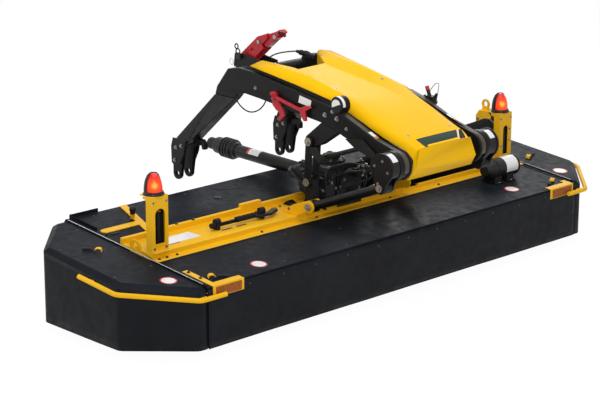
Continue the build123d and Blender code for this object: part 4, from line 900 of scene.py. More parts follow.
def makePaintedGlowLens(name, spot, sizes=lampSizes):
    # the lens finish with a painted glow round one place, on the lens side that faces the camera
    material = makeFinish(name, finishSizes["lensRed"])
    tree = material.node_tree
    shader = tree.nodes["Principled BSDF"]
    coordinates = tree.nodes.new("ShaderNodeTexCoord")
    away = tree.nodes.new("ShaderNodeVectorMath")
    away.operation = "DISTANCE"
    away.inputs[1].default_value = spot
    tree.links.new(coordinates.outputs["Object"], away.inputs[0])
    ramp = tree.nodes.new("ShaderNodeValToRGB")
    stops = ramp.color_ramp.elements
    (stops[0].position, stops[0].color), middle, (stops[1].position, stops[1].color) = sizes["spotStops"]
    stops.new(middle[0]).color = middle[1]
    tree.links.new(away.outputs["Value"], ramp.inputs["Fac"])
    tree.links.new(ramp.outputs["Color"], shader.inputs["Emission Color"])
    shader.inputs["Emission Strength"].default_value = sizes["glow"]
    return material


def makeLamp(side, x, sizes=lampSizes):
    base = at(x, sizes["back"], sizes["lensZ"])
    turn, out, rise = sizes["spot"]
    # painted glow, put on the lens side that faces the camera
    spot = base + Vector((out * math.cos(math.radians(turn)), out * math.sin(math.radians(turn)), rise))
    finishes["lensRed" + side] = makePaintedGlowLens("lensRed" + side, spot)
    bm = bmesh.new()
    turnProfile(bm, base, base + upward, sizes["lens"], 48)
    finishPiece(bm, "lampLens" + side, "lensRed" + side, "mower", ["lamp_lenses"], smooth=60)
    # shield
    gap = sizes["shieldGap"]
    first, last = (math.radians(a) for a in sizes["shieldArc"])
    lines = []
    for step in range(25):
        turn = first + (last - first) * step / 24
        out = Vector((math.cos(turn), math.sin(turn), 0))
        lines.append([
            base + out * (radius + gap) + upward * (up + (gap if radius < sizes["shieldTop"] else 0))
            for up, radius in sizes["lens"][:-1]
        ])
    bm = bmesh.new()
    loftRings(bm, lines, closed=False)
    bmesh.ops.solidify(bm, geom=bm.faces[:], thickness=-sizes["shieldWall"])
    finishPiece(bm, "lampShield" + side, "moldedPlastic", "mower", smooth=50)
    # skirt with its screws
    bm = bmesh.new()
    skirt = at(x, sizes["back"], sizes["skirtZ"])
    turnProfile(bm, skirt, skirt + upward, sizes["skirt"], 48)
    finishPiece(bm, "lampSkirt" + side, "moldedPlastic", "mower", ["lamp_bases"], smooth=40)
    bm = bmesh.new()
    count, ring, height, radius = sizes["screws"]
    for k in range(count):
        turn = math.tau * (k + 0.5) / count
        screwAt(bm, skirt + Vector((ring * math.cos(turn), ring * math.sin(turn), height)), upward, radius)
    finishPiece(bm, "lampScrews" + side, "zincPlate", "mower")


for side, x in lampSizes["places"].items():
    makeLamp(side, x)

postSizes = {
    # x and z from the post's foot, y from its face
    "face": -0.148,
    "boltRadius": 0.006,
    "bolts": [(0.040, 0.022), (-0.040, 0.022), (0.044, 0.272), (-0.044, 0.272)],
    "slotBolts": [(-0.037, 0.10), (0.037, 0.13), (0.037, 0.20)],  # right post only
    "backing": [((0, 0.030, 0.150), (0.098, 0.003, 0.235)), ((-0.012, 0.014, 0.135), (0.016, 0.030, 0.150))],
    "markers": [((0.014, 0.0265, 0.215), (0.020, 0.004, 0.012))],
    # folded feet and a stiffening lip at the top of each post
    "feet": [
        ((0, -0.011, 0.0035), (0.112, 0.022, 0.005)),
        ((-0.0525, 0.062, 0.290), (0.005, 0.026, 0.014)), ((0.0525, 0.062, 0.290), (0.005, 0.026, 0.014)),
    ],
}
made = {part: bmesh.new() for part in ("bolts", "backing", "markers", "feet")}
for side, x in lampSizes["places"].items():
    foot = at(x, postSizes["face"], deckSizes["beamTopZ"])
    for dx, dz in postSizes["bolts"] + (postSizes["slotBolts"] if side == "Right" else []):
        boltAt(made["bolts"], foot + Vector((dx, 0, dz)), (0, -1, 0), postSizes["boltRadius"])
    for part in ("backing", "markers", "feet"):
        for shift, size in postSizes[part]:
            boxAt(made[part], foot + Vector(shift), size)
finishPiece(made["bolts"], "postBolts", "zincPlate", "mower")
finishPiece(made["backing"], "postBacking", "rubber", "mower", bevel=0.001)
finishPiece(made["markers"], "postMarkers", "reflectorAmber", "mower", bevel=0.001)
finishPiece(made["feet"], "postFeet", "frameYellow", "mower", bevel=0.001)
print("lamps made")

# power take-off: funnel at the gearbox, tube, ribbed bell at the tractor's end

driveSizes = {
    "start": (0, 0.150, 0.575),
    "end": (0, 1.000, 0.592),
    # along, radius
    "funnel": [
        (0.0, 0.0), (0.0, 0.096), (0.014, 0.096), (0.018, 0.088), (0.060, 0.074), (0.066, 0.074), (0.070, 0.066),
        (0.110, 0.050), (0.116, 0.050), (0.122, 0.0385), (0.664, 0.0385), (0.668, 0.046),
        (0.684, 0.048), (0.696, 0.058),
    ],
    "ribs": (0.700, 4, 0.024, 0.012, 0.003),  # first, count, pitch, width, slope
    "ribRadii": (0.062, 0.053),
    "mouth": [(0.800, 0.052), (0.846, 0.050), (0.850, 0.048), (0.850, 0.044), (0.690, 0.044)],
    "labels": {
        # name: radius, span, finish
        "shaftLabel": (0.0392, (0.452, 0.556), "labelWhite"),
        "shaftLabelEdge": (0.0396, (0.540, 0.556), "signRed"),
    },
    "labelArc": (-70, 60),
}


def makeShaftGuard(sizes):
    start, end = at(*sizes["start"]), at(*sizes["end"])
    profile = list(sizes["funnel"])
    first, count, pitch, width, slope = sizes["ribs"]
    outer, inner = sizes["ribRadii"]
    for k in range(count):
        place = first + pitch * k
        profile += [
            (place, outer), (place + width, outer), (place + width + slope, inner), (place + pitch - slope, inner),
        ]
    bm = bmesh.new()
    turnProfile(bm, start, end, profile + sizes["mouth"], 48)
    finishPiece(
        bm, "shaftGuard", "moldedPlastic", "mower", ["pto_guard"], bevel=0.0008, smooth=35,
    )
    for name, (radius, span, finish) in sizes["labels"].items():
        wrapLabel(name, start, end - start, radius, span, sizes["labelArc"], finish)


makeShaftGuard(driveSizes)

# cross shaft: fine bellows at both ends of a plain tube, and slimmer ones between

bellowsSizes = {
    "start": (0.150, -0.010, 0.566),
    "end": (1.350, -0.010, 0.628),
    "pitch": 0.015,
    "collar": [(0, 0), (0, 0.088), (0.005, 0.088)],
    "near": ((0.006, 0.190), 0.086, 0.073),  # span, outer and inner radius
    "neck": [(0.200, 0.060), (0.214, 0.046), (0.640, 0.046)],
    "slim": ((0.644, 0.930), 0.064, 0.054),
    "shoulder": [(0.938, 0.060)],
    "far": ((0.945, 1.196), 0.086, 0.073),
    "flange": [(1.197, 0.088), (1.2014, 0.088), (1.2014, 0)],
    "steps": 56,
    "bands": (0.020, 0.178, 0.958, 1.182),
    "band": [(0, 0.0868), (0, 0.0885), (0.010, 0.0885), (0.010, 0.0868)],
    "clip": (0.005, -0.062, 0.066, 0.014),  # along, back, up, size
}


def foldProfile(span, outer, inner):
    profile = []
    folds = round((span[1] - span[0]) / bellowsSizes["pitch"])
    for k in range(folds):
        along = span[0] + (span[1] - span[0]) * k / folds
        profile += [(along, inner), (along + bellowsSizes["pitch"] * 0.5, outer)]
    return profile + [(span[1], inner)]


def makeBellows(sizes):
    start, end = at(*sizes["start"]), at(*sizes["end"])
    profile = []
    for part in ("collar", "near", "neck", "slim", "shoulder", "far", "flange"):
        profile += foldProfile(*sizes[part]) if part in ("near", "slim", "far") else sizes[part]
    bm = bmesh.new()
    turnProfile(bm, start, end, profile, sizes["steps"])
    finishPiece(bm, "crossShaftBellows", "rubber", "mower", ["drive_shaft_guard"], smooth=50)
    bm = bmesh.new()
    toward = (end - start).normalized()
    shift, back, rise, size = sizes["clip"]
    for along in sizes["bands"]:
        turnProfile(bm, start + toward * along, end, sizes["band"], sizes["steps"], closed=True)
        boxAt(bm, start + toward * (along + shift) + Vector((0, back, rise)), (size, size, size))
    finishPiece(bm, "bellowsBands", "darkSteel", "mower", smooth=40)


makeBellows(bellowsSizes)

# gearbox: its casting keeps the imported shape; fins, covers and bolts are added

gearSizes = {
    "fins": [
        # x, behind, z, width, depth, height
        (-0.118, -0.124, 0.590, 0.012, 0.018, 0.140), (-0.118, 0.154, 0.590, 0.012, 0.018, 0.140),
        (-0.092, -0.124, 0.590, 0.012, 0.018, 0.140), (-0.092, 0.154, 0.590, 0.012, 0.018, 0.140),
        (0.092, -0.124, 0.590, 0.012, 0.018, 0.140), (0.092, 0.154, 0.590, 0.012, 0.018, 0.140),
        (0.118, -0.124, 0.590, 0.012, 0.018, 0.140), (0.118, 0.154, 0.590, 0.012, 0.018, 0.140),
        (-0.156, 0.015, 0.530, 0.016, 0.200, 0.008), (-0.156, 0.015, 0.558, 0.016, 0.200, 0.008),
        (-0.156, 0.015, 0.586, 0.016, 0.200, 0.008), (-0.156, 0.015, 0.614, 0.016, 0.200, 0.008),
        (-0.156, 0.015, 0.642, 0.016, 0.200, 0.008), (0, 0.015, 0.672, 0.290, 0.250, 0.012),
    ],
    # bolts in rings: center, directions of the first bolt and of the one a quarter on, out, count, first, radius
    "rings": [
        ((0, 0.020, 0.692), (1, 0, 0), (0, 1, 0), (0, 0, 1), 0.072, 8, 0, 0.0085),
        ((0, -0.146, 0.575), (1, 0, 0), (0, 0, 1), (0, -1, 0), 0.068, 6, 0.5, 0.008),
        ((-0.162, 0.010, 0.578), (0, 1, 0), (0, 0, 1), (-1, 0, 0), 0.0875, 8, 0.25, 0.007),
    ],
    "lidBolts": [(-0.130, -0.095), (-0.130, 0.120), (0.130, -0.095), (0.130, 0.120)],
    "lidBoltZ": 0.678,
    "lidBoltRadius": 0.009,
    "covers": [
        # center, toward, steps, profile
        ((-0.150, 0.010, 0.578), (-1, 0, 0), 40, [
            (0, 0.095), (0.012, 0.095), (0.016, 0.086), (0.034, 0.080), (0.038, 0.052),
            (0.060, 0.046), (0.064, 0.0),
        ]),
        ((0.055, 0.085, 0.676), (0, 0, 1), 20, [
            (0, 0.014), (0.014, 0.014), (0.016, 0.019), (0.032, 0.019), (0.036, 0.010), (0.038, 0),
        ]),
    ],
}


def makeGearbox(sizes):
    fins, bolts, covers = bmesh.new(), bmesh.new(), bmesh.new()
    for x, back, z, *size in sizes["fins"]:
        boxAt(fins, at(x, back, z), size)
    finishPiece(fins, "gearboxFins", "castIron", "mower", bevel=0.003)
    for center, across, along, out, ring, count, first, radius in sizes["rings"]:
        for k in range(count):
            turn = math.tau * (k + first) / count
            place = Vector(across) * math.cos(turn) + Vector(along) * math.sin(turn)
            boltAt(bolts, at(*center) + place * ring, out, radius)
    for x, back in sizes["lidBolts"]:
        boltAt(bolts, at(x, back, sizes["lidBoltZ"]), upward, sizes["lidBoltRadius"])
    for center, toward, steps, profile in sizes["covers"]:
        turnProfile(covers, at(*center), at(*center) + Vector(toward), profile, steps)
    finishPiece(covers, "gearboxCovers", "castIron", "mower", bevel=0.0015)
    finishPiece(bolts, "gearboxBolts", "darkSteel", "mower")


makeGearbox(gearSizes)

# valve blocks, brackets and hard lines round the gearbox

valveSizes = {
    "blocks": [
        # x, behind, z, width, depth, height
        (-0.205, -0.155, 0.560, 0.070, 0.060, 0.110),
        (-0.130, -0.168, 0.535, 0.060, 0.050, 0.075),
        (0.062, -0.172, 0.640, 0.110, 0.045, 0.050),
        (-0.230, 0.060, 0.640, 0.045, 0.120, 0.060),
    ],
    "fittingShares": (-0.3, 0.3),  # of a block's width
    "topFitting": (0.016, 0.0095),  # length, radius
    "sideFitting": (0.014, 0.0085),
    "sideDrop": 0.2,
    "plates": [
        (-0.240, -0.110, 0.560, 0.008, 0.150, 0.180),
        (-0.060, -0.190, 0.510, 0.190, 0.007, 0.075),
    ],
    "pipeRadius": 0.0075,
    "nut": (0.002, 0.020, 0.0115),  # from, to, radius
    "pipes": [
        # corners: x, behind, z
        [
            (-0.215, -0.150, 0.610), (-0.215, -0.150, 0.672), (-0.150, -0.150, 0.700), (-0.020, -0.150, 0.700),
            (0.070, -0.172, 0.668),
        ],
        [
            (-0.190, -0.175, 0.610), (-0.190, -0.180, 0.655), (-0.100, -0.200, 0.670), (0.040, -0.200, 0.650),
            (0.052, -0.195, 0.645),
        ],
        [
            (-0.130, -0.190, 0.565), (-0.130, -0.215, 0.590), (-0.040, -0.222, 0.600), (0.080, -0.215, 0.600),
            (0.120, -0.195, 0.630),
        ],
        [(-0.240, 0.000, 0.650), (-0.262, -0.060, 0.640), (-0.262, -0.130, 0.600), (-0.235, -0.170, 0.575)],
        [
            (-0.250, 0.100, 0.662), (-0.275, 0.040, 0.640), (-0.275, -0.100, 0.560), (-0.262, -0.150, 0.520),
            (-0.200, -0.190, 0.505),
        ],
    ],
}


def makeValves(sizes):
    blocks, plates, fittings, pipes, nuts = (bmesh.new() for _ in range(5))
    for x, back, z, width, depth, height in sizes["blocks"]:
        boxAt(blocks, at(x, back, z), (width, depth, height))
        for share in sizes["fittingShares"]:
            length, radius = sizes["topFitting"]
            place = at(x + share * width, back, z + height / 2)
            rodAt(fittings, place, place + upward * length, radius, segments=6)
            length, radius = sizes["sideFitting"]
            place = at(x + share * width, back - depth / 2, z - height * sizes["sideDrop"])
            rodAt(fittings, place, place + Vector((0, -length, 0)), radius, segments=6)
    for x, back, z, *size in sizes["plates"]:
        boxAt(plates, at(x, back, z), size)
    low, high, radius = sizes["nut"]
    for corners in sizes["pipes"]:
        places = [at(*p) for p in corners]
        bendPipe(pipes, places, sizes["pipeRadius"])
        for a, b in ((places[0], places[1]), (places[-1], places[-2])):
            along = (b - a).normalized()
            rodAt(nuts, a + along * low, a + along * high, radius, segments=6)
    finishPiece(blocks, "valveBlocks", "castIron", "mower", bevel=0.003)
    finishPiece(plates, "valveBrackets", "framePaint", "mower", bevel=0.0015)
    finishPiece(fittings, "valveFittings", "darkSteel", "mower", bevel=0.0008)
    finishPiece(pipes, "hardLines", "moldedPlastic", "mower", smooth=50)
    finishPiece(nuts, "hardLineNuts", "darkSteel", "mower", bevel=0.0008)


makeValves(valveSizes)
print("drive made")

# arms: capping strips, bolts, blank labels, shrouds, gussets and pins

armSizes = {
    "noseCenter": (-0.790, 0.862),
    "outerX": 0.330,
    # the brown strips: x from and to, their path, and the turn round the nose in degrees above straight ahead
    "stripX": (0.2926, 0.328),
    "stripLift": 0.0004,
    "stripWall": 0.003,
    "noseRadius": 0.076,
    "stripPath": [(-0.300, 1.0995), (-0.395, 1.073), (-0.520, 1.028), (-0.644, 0.978)],
    "stripArc": (70, -25, 14),
    "sideBolts": [
        (-0.263, 1.050, 0.011), (-0.321, 1.078, 0.009), (-0.356, 1.044, 0.011), (-0.430, 1.000, 0.008),
        (0.300, 1.110, 0.008),
    ],
    "stripBolts": [(-0.700, 0.958), (-0.745, 0.941)],
    "stripBolt": (0.311, 0.0075, (0, -0.36, 0.93)),  # x, radius, direction
    "sideLabel": [(-0.060, 1.127), (-0.155, 1.112), (-0.146, 1.073), (-0.051, 1.085)],
    "labelGap": 0.0002,
    # the strip's labels: x from and to, behind from and to, height over the strip
    "stripLabel": ((0.322, 0.297), (-0.585, -0.645), 0.0042),
    "stripLabelEnd": ((0.322, 0.297), (-0.628, -0.645), 0.0050),
    "labelNormal": (0, -0.37, 0.93),
    "boss": (-0.354, -0.375, 1.125),
    "bossLabel": (0.0486, (0.002, 0.022), (-75, 95)),
    "capX": -0.3537,
    "cap": [(0, 0), (0, 0.040), (0.002, 0.042), (0.005, 0.040), (0.005, 0.037), (0.003, 0.036), (0.003, 0)],
    "bossSign": (-0.3568, 0.0335, -25, 160, 18),  # x, radius, from and to in degrees, steps
    # shrouds between the lugs of the drums: x, half width, radii, from and to in degrees, steps
    "shroud": (0.392, 0.0265, (0.075, 0.079), (-35, 200), 24),
    "drumLabels": {"drumLabelLeft": -0.412, "drumLabelRight": 0.372},
    "drumLabel": (0.0796, (0.0, 0.040), (12, 58)),
}


def makeArmStrips(sizes):
    bm = bmesh.new()
    centerBack, centerZ = sizes["noseCenter"]
    first, last, steps = sizes["stripArc"]
    path = list(sizes["stripPath"])
    straight = len(path)
    for k in range(steps + 1):
        turn = math.radians(first + (last - first) * k / steps)
        path.append((
            centerBack - sizes["noseRadius"] * math.cos(turn), centerZ + sizes["noseRadius"] * math.sin(turn),
        ))
    for side in (-1, 1):
        lines = []
        for i, (back, z) in enumerate(path):
            if i < straight:
                a, b = path[max(0, i - 1)], path[i + 1]
                run = Vector((0, b[0] - a[0], b[1] - a[1])).normalized()
                out = Vector((0, run.z, -run.y))
            else:
                out = Vector((0, back - centerBack, z - centerZ)).normalized()
            low, high = (at(side * x, back, z) + out * sizes["stripLift"] for x in sizes["stripX"])
            lines.append([low, high, high + out * sizes["stripWall"], low + out * sizes["stripWall"]])
        loftRings(bm, lines, capped=True)
    finishPiece(bm, "armStrips", "stripBrown", "mower", bevel=0.0006)


def stripLabelAt(bm, sizes, part):
    # a label that follows the slope of the strip
    (outer, inner), (front, rear), lift = sizes[part]
    (backA, zA), (backB, zB) = sizes["stripPath"][-2:]
    for side in (-1, 1):
        corners = []
        for x, back in ((outer, front), (inner, front), (inner, rear), (outer, rear)):
            z = zA + (back - backA) * (zB - zA) / (backB - backA) + lift
            corners.append(at(side * x, back, z))
        signAt(bm, corners, sizes["labelNormal"])


def makeArmLabels(sizes):
    labels, ends = bmesh.new(), bmesh.new()
    for side in (-1, 1):
        x = side * (sizes["outerX"] + sizes["labelGap"])
        signAt(labels, [at(x, back, z) for back, z in sizes["sideLabel"]], (side, 0, 0))
    stripLabelAt(labels, sizes, "stripLabel")
    stripLabelAt(ends, sizes, "stripLabelEnd")
    finishPiece(labels, "armLabels", "labelWhite", "mower")
    finishPiece(ends, "armLabelEnds", "labelOrange", "mower")


def makeArmBolts(sizes):
    bolts = bmesh.new()
    x, capRadius, direction = sizes["stripBolt"]
    for side in (-1, 1):
        for back, z, radius in sizes["sideBolts"]:
            boltAt(bolts, at(side * sizes["outerX"], back, z), (side, 0, 0), radius)
        for back, z in sizes["stripBolts"]:
            boltAt(bolts, at(side * x, back, z), direction, capRadius)
    finishPiece(bolts, "armBolts", "zincPlate", "mower")


def makeBoss(sizes):
    _, back, z = sizes["boss"]
    wrapLabel("bossLabel", at(*sizes["boss"]), (1, 0, 0), *sizes["bossLabel"], "labelWhite", 16)
    bm = bmesh.new()
    turnProfile(bm, at(sizes["capX"], back, z), at(-1, back, z), sizes["cap"], 40)
    finishPiece(bm, "bossCap", "moldedPlastic", "mower", smooth=40)
    bm = bmesh.new()
    x, radius, first, last, steps = sizes["bossSign"]
    turns = [math.radians(first + (last - first) * k / steps) for k in range(steps + 1)]
    signAt(bm, [at(x, back + radius * math.cos(a), z + radius * math.sin(a)) for a in turns], (-1, 0, 0))
    finishPiece(bm, "bossSign", "labelWhite", "mower")


def makeDrumShrouds(sizes):
    bm = bmesh.new()
    x, half, (low, high), (first, last), steps = sizes["shroud"]
    section = ((-half, low), (half, low), (half, high), (-half, high))
    for side in (-1, 1):
        center = at(side * x, *sizes["noseCenter"])
        lines = []
        for k in range(steps + 1):
            turn = math.radians(first + (last - first) * k / steps)
            ray = Vector((0, -math.cos(turn), math.sin(turn)))
            lines.append([center + Vector((dx, 0, 0)) + ray * radius for dx, radius in section])
        loftRings(bm, lines, capped=True)
    finishPiece(bm, "drumShrouds", "moldedPlastic", "mower", smooth=50)
    for name, x in sizes["drumLabels"].items():
        wrapLabel(name, at(x, *sizes["noseCenter"]), (1, 0, 0), *sizes["drumLabel"], "labelWhite", 8)


makeArmStrips(armSizes)
makeArmBolts(armSizes)
makeArmLabels(armSizes)
makeBoss(armSizes)
makeDrumShrouds(armSizes)

pinSizes = {
    # behind, z, x, radius
    "bolts": [
        (-0.742, 0.871, 0.431, 0.0065), (-0.838, 0.848, 0.431, 0.0065), (-0.768, 0.776, 0.431, 0.0065),
        (-0.800, 0.905, 0.431, 0.0065), (-0.082, 0.495, 0.431, 0.007), (-0.010, 0.495, 0.431, 0.007),
    ],
    # behind, z, x from and to, radius, sides: pull links, front and rear, then the levers
    "pins": [
        (-0.782, 0.752, 0.431, 0.443, 0.021, 28), (-0.782, 0.752, 0.443, 0.451, 0.011, 6),
        (-0.238, 0.535, 0.431, 0.443, 0.021, 28), (-0.238, 0.535, 0.443, 0.451, 0.011, 6),
        (-0.143, 0.877, 0.3415, 0.3500, 0.024, 28), (-0.143, 0.877, 0.3500, 0.3580, 0.012, 6),
        (-0.130, 0.640, 0.3415, 0.3500, 0.022, 28),
    ],
    # lever gussets and the stay bar under each arm
    "bar": (0.298, (-0.238, 0.800), (-0.520, 0.905), 0.013),
    "gusset": (0.334, [(-0.430, 0.945), (-0.505, 0.905), (-0.640, 0.868), (-0.655, 0.905), (-0.560, 0.965)]),
    "bracket": (0.3405, [(-0.170, 0.850), (-0.160, 0.820), (-0.235, 0.770), (-0.262, 0.800), (-0.215, 0.860)]),
    "wall": 0.008,
}


def makePins(sizes):
    bolts, pins, bars, gussets = (bmesh.new() for _ in range(4))
    for side in (-1, 1):
        for back, z, x, radius in sizes["bolts"]:
            boltAt(bolts, at(side * x, back, z), (side, 0, 0), radius)
        for back, z, inner, outer, radius, steps in sizes["pins"]:
            rodAt(pins, at(side * inner, back, z), at(side * outer, back, z), radius, segments=steps)
        x, start, stop, radius = sizes["bar"]
        rodAt(bars, at(side * x, *start), at(side * x, *stop), radius, segments=18)
        for x, outline in (sizes["gusset"], sizes["bracket"]):
            sidePlate(gussets, side * x, outline, side * sizes["wall"])
    finishPiece(bolts, "drumBolts", "zincPlate", "mower")
    finishPiece(pins, "linkPins", "wornSteel", "mower", bevel=0.0015)
    finishPiece(bars, "stayBars", "framePaint", "mower", bevel=0.002)
    finishPiece(gussets, "armGussets", "framePaint", "mower", bevel=0.0015)


makePins(pinSizes)

# legs: cheek plates, bolts and the small hook brackets

legSizes = {
    "cheek": [
        (0.752, 0.742), (0.868, 0.742), (0.884, 0.690), (0.880, 0.590), (0.858, 0.575),
        (0.805, 0.590), (0.770, 0.660),
    ],
    "cheekBolts": [(0.838, 0.688), (0.850, 0.610), (0.790, 0.705)],
    "boltRadius": 0.009,
    "outerX": 0.4655,
    "innerX": 0.3595,
    "wall": 0.008,
    "hook": [
        (0.760, 0.745), (0.690, 0.745), (0.668, 0.722), (0.668, 0.690), (0.688, 0.690),
        (0.694, 0.712), (0.760, 0.700),
    ],
    "hookX": 0.372,
    "hookWidth": 0.030,
}


def makeLegs(sizes):
    cheeks, bolts = bmesh.new(), bmesh.new()
    for side in (-1, 1):
        for x, out in ((sizes["outerX"], side), (sizes["innerX"], -side)):
            sidePlate(cheeks, side * x, sizes["cheek"], out * sizes["wall"])
        sidePlate(cheeks, side * sizes["hookX"], sizes["hook"], side * sizes["hookWidth"])
        for back, z in sizes["cheekBolts"]:
            for x, out in ((sizes["outerX"], side), (sizes["innerX"], -side)):
                boltAt(bolts, at(side * x + out * sizes["wall"], back, z), (out, 0, 0), sizes["boltRadius"])
    finishPiece(cheeks, "legCheeks", "framePaint", "mower", bevel=0.0015)
    finishPiece(bolts, "legBolts", "zincPlate", "mower")


makeLegs(legSizes)

# mast: parking loop, lynch ring and the pins and catch of the hook

mastSizes = {
    # center, toward, ring radius, wire radius, sides of the wire, steps, shift along the axis
    "loops": [
        ((-0.076, 0.733, 1.222), (-1, 0.733, 1.222), 0.017, (0.003, 0.0045), 8, 24, -0.003),
        ((-0.076, 0.745, 1.252), (-1, 0.745, 1.252), 0.014, (0.003, 0.0045), 8, 24, -0.003),
    ],
    "lug": ((-0.073, 0.731, 1.196), (0.008, 0.034, 0.040)),
    "ring": ((-0.064, 0.800, 1.150), (-0.40, 0.86, 1.150), 0.019, (0.0018, 0.0018), 6, 28, 0),
    "pins": [(0.745, 1.165), (0.452, 1.344), (0.590, 1.296)],
    "pinX": (0.0382, 0.0440),
    "pinRadius": 0.013,
    # from, to, radius, sides
    "catch": [
        ((-0.020, 0.410, 1.372), (-0.058, 0.392, 1.378), 0.009, 16),
        ((-0.372, 0.134, 1.096), (-0.380, 0.134, 1.096), 0.012, 6),
    ],
}


def makeLoop(bm, center, toward, radius, wire, sides, steps, shift):
    turns = [math.tau * k / sides for k in range(sides)]
    profile = [(shift + wire[0] * math.cos(turn), radius + wire[1] * math.sin(turn)) for turn in turns]
    turnProfile(bm, at(*center), at(*toward), profile, steps, closed=True)


def makeMast(sizes):
    loops, pins, catch = bmesh.new(), bmesh.new(), bmesh.new()
    for loop in sizes["loops"]:
        makeLoop(loops, *loop)
    place, size = sizes["lug"]
    boxAt(loops, at(*place), size)
    makeLoop(pins, *sizes["ring"])
    inner, outer = sizes["pinX"]
    for back, z in sizes["pins"]:
        for side in (-1, 1):
            rodAt(pins, at(side * inner, back, z), at(side * outer, back, z), sizes["pinRadius"], segments=6)
    for start, end, radius, steps in sizes["catch"]:
        rodAt(catch, at(*start), at(*end), radius, segments=steps)
    finishPiece(loops, "parkingLoop", "framePaint", "mower", smooth=50)
    finishPiece(pins, "hookPins", "zincPlate", "mower", smooth=50)
    finishPiece(catch, "catchHandle", "rubber", "mower", bevel=0.002)


makeMast(mastSizes)

# far arm: valve with its pull wire

farValveSizes = {
    # places from the valve's middle: across, back, up
    "middle": (0.348, -0.430, 1.058),
    "block": (0.040, 0.060, 0.046),
    "ports": [
        # back and up of both ends, radius, sides
        ((-0.040, -0.012), (0.052, 0.010), 0.014, 18),
        ((0.010, 0.020), (0.024, 0.052), 0.011, 18),
        ((-0.028, 0.016), (-0.044, 0.040), 0.009, 14),
    ],
    "wire": [(-0.040, -0.010), (-0.052, 0.052), (-0.060, 0.106), (-0.032, 0.100), (-0.006, 0.070), (0.018, 0.038)],
    "wireRadius": 0.0022,
    "wireBend": 0.012,
    "knob": [((0.024, 0.052), (0.034, 0.074), 0.012, 18)],
}


def makeFarValve(sizes):
    middle = at(*sizes["middle"])
    block, knob, wire = bmesh.new(), bmesh.new(), bmesh.new()
    boxAt(block, middle, sizes["block"])
    for bm, rods in ((block, sizes["ports"]), (knob, sizes["knob"])):
        for start, end, radius, steps in rods:
            rodAt(bm, middle + Vector((0, *start)), middle + Vector((0, *end)), radius, segments=steps)
    bendPipe(wire, [middle + Vector((0, *p)) for p in sizes["wire"]], sizes["wireRadius"], sizes["wireBend"], 8)
    finishPiece(block, "hoodValve", "moldedPlastic", "mower", bevel=0.002)
    finishPiece(wire, "valveWire", "wornSteel", "mower", smooth=50)
    finishPiece(knob, "valveKnob", "redPaint", "mower", bevel=0.001)


makeFarValve(farValveSizes)

# the end housing's yellow plate and bolts

housingSizes = {
    "plateX": 1.3445,
    "plateWall": 0.006,
    "plate": [(-0.034, 0.470), (0.088, 0.470), (0.088, 0.722), (0.062, 0.758), (-0.004, 0.758), (-0.034, 0.728)],
    "top": ((1.385, 0.030, 0.7555), (0.086, 0.064, 0.006)),
    "bolts": [(-0.015, 0.500), (0.068, 0.500), (-0.012, 0.705), (0.070, 0.700)],
    "boltSides": [(1.3385, -1), (1.468, 1)],
    "boltRadius": 0.008,
}
bm, bolts = bmesh.new(), bmesh.new()
sidePlate(bm, housingSizes["plateX"], housingSizes["plate"], -housingSizes["plateWall"])
place, size = housingSizes["top"]
boxAt(bm, at(*place), size)
for back, z in housingSizes["bolts"]:
    for x, out in housingSizes["boltSides"]:
        boltAt(bolts, at(x, back, z), (out, 0, 0), housingSizes["boltRadius"])
finishPiece(bm, "housingPlate", "frameYellow", "mower", bevel=0.0015)
finishPiece(bolts, "housingBolts", "zincPlate", "mower")
print("arms made")

# document tube: screw lid, ribs, saddles and a blank label

tubeSizes = {
    "x": 1.122,
    "half": 0.135,
    "back": -0.295,
    "lift": 0.078,
    "profile": [
        # along, radius
        (0, 0), (0, 0.033), (0.003, 0.036), (0.040, 0.0600), (0.044, 0.0630), (0.060, 0.0630), (0.063, 0.0595),
        (0.068, 0.0595), (0.070, 0.0635), (0.078, 0.0635), (0.080, 0.0600), (0.250, 0.0600), (0.252, 0.0630),
        (0.262, 0.0630), (0.268, 0.050), (0.270, 0),
    ],
    "saddleX": (-0.055, 0.055),
    "saddle": (-0.058, (0.060, 0.094, 0.036)),  # height from the tube's middle, size
    "foot": (-0.014, (0.070, 0.126, 0.006)),  # height from the saddle's middle, size
    "label": (0.0606, (0.142, 0.246), (-20, 112)),  # radius, span, arc
    "screwBack": (-0.054, 0.054),
    "screwLift": 0.008,
    "screwRadius": 0.006,
}


def makeDocumentTube(sizes):
    middle, back = sizes["x"], sizes["back"]
    z = deckZ(behind(back)) + sizes["lift"]
    start = at(middle - sizes["half"], back, z)
    bm = bmesh.new()
    turnProfile(bm, start, start + Vector((1, 0, 0)), sizes["profile"], 48)
    saddleZ, saddle = sizes["saddle"]
    footZ, foot = sizes["foot"]
    for dx in sizes["saddleX"]:
        place = at(middle + dx, back, z + saddleZ)
        boxAt(bm, place, saddle)
        boxAt(bm, place + upward * footZ, foot, Matrix.Rotation(deckTilt, 4, "X"))
    finishPiece(bm, "documentCase", "moldedPlastic", "mower", ["document_tube"], 0.001, 35)
    wrapLabel("documentLabel", start, (1, 0, 0), *sizes["label"], "labelWhite", 14)
    bm = bmesh.new()
    for dx in sizes["saddleX"]:
        for dy in sizes["screwBack"]:
            place = at(middle + dx, back + dy, deckZ(behind(back + dy)) + sizes["screwLift"])
            screwAt(bm, place, deckUp, sizes["screwRadius"])
    finishPiece(bm, "documentScrews", "zincPlate", "mower")


makeDocumentTube(tubeSizes)

# beam: edge ribs, blank label, black marks round the label, painted shade in the slots, bolts and the clamps of
# the stowed stay

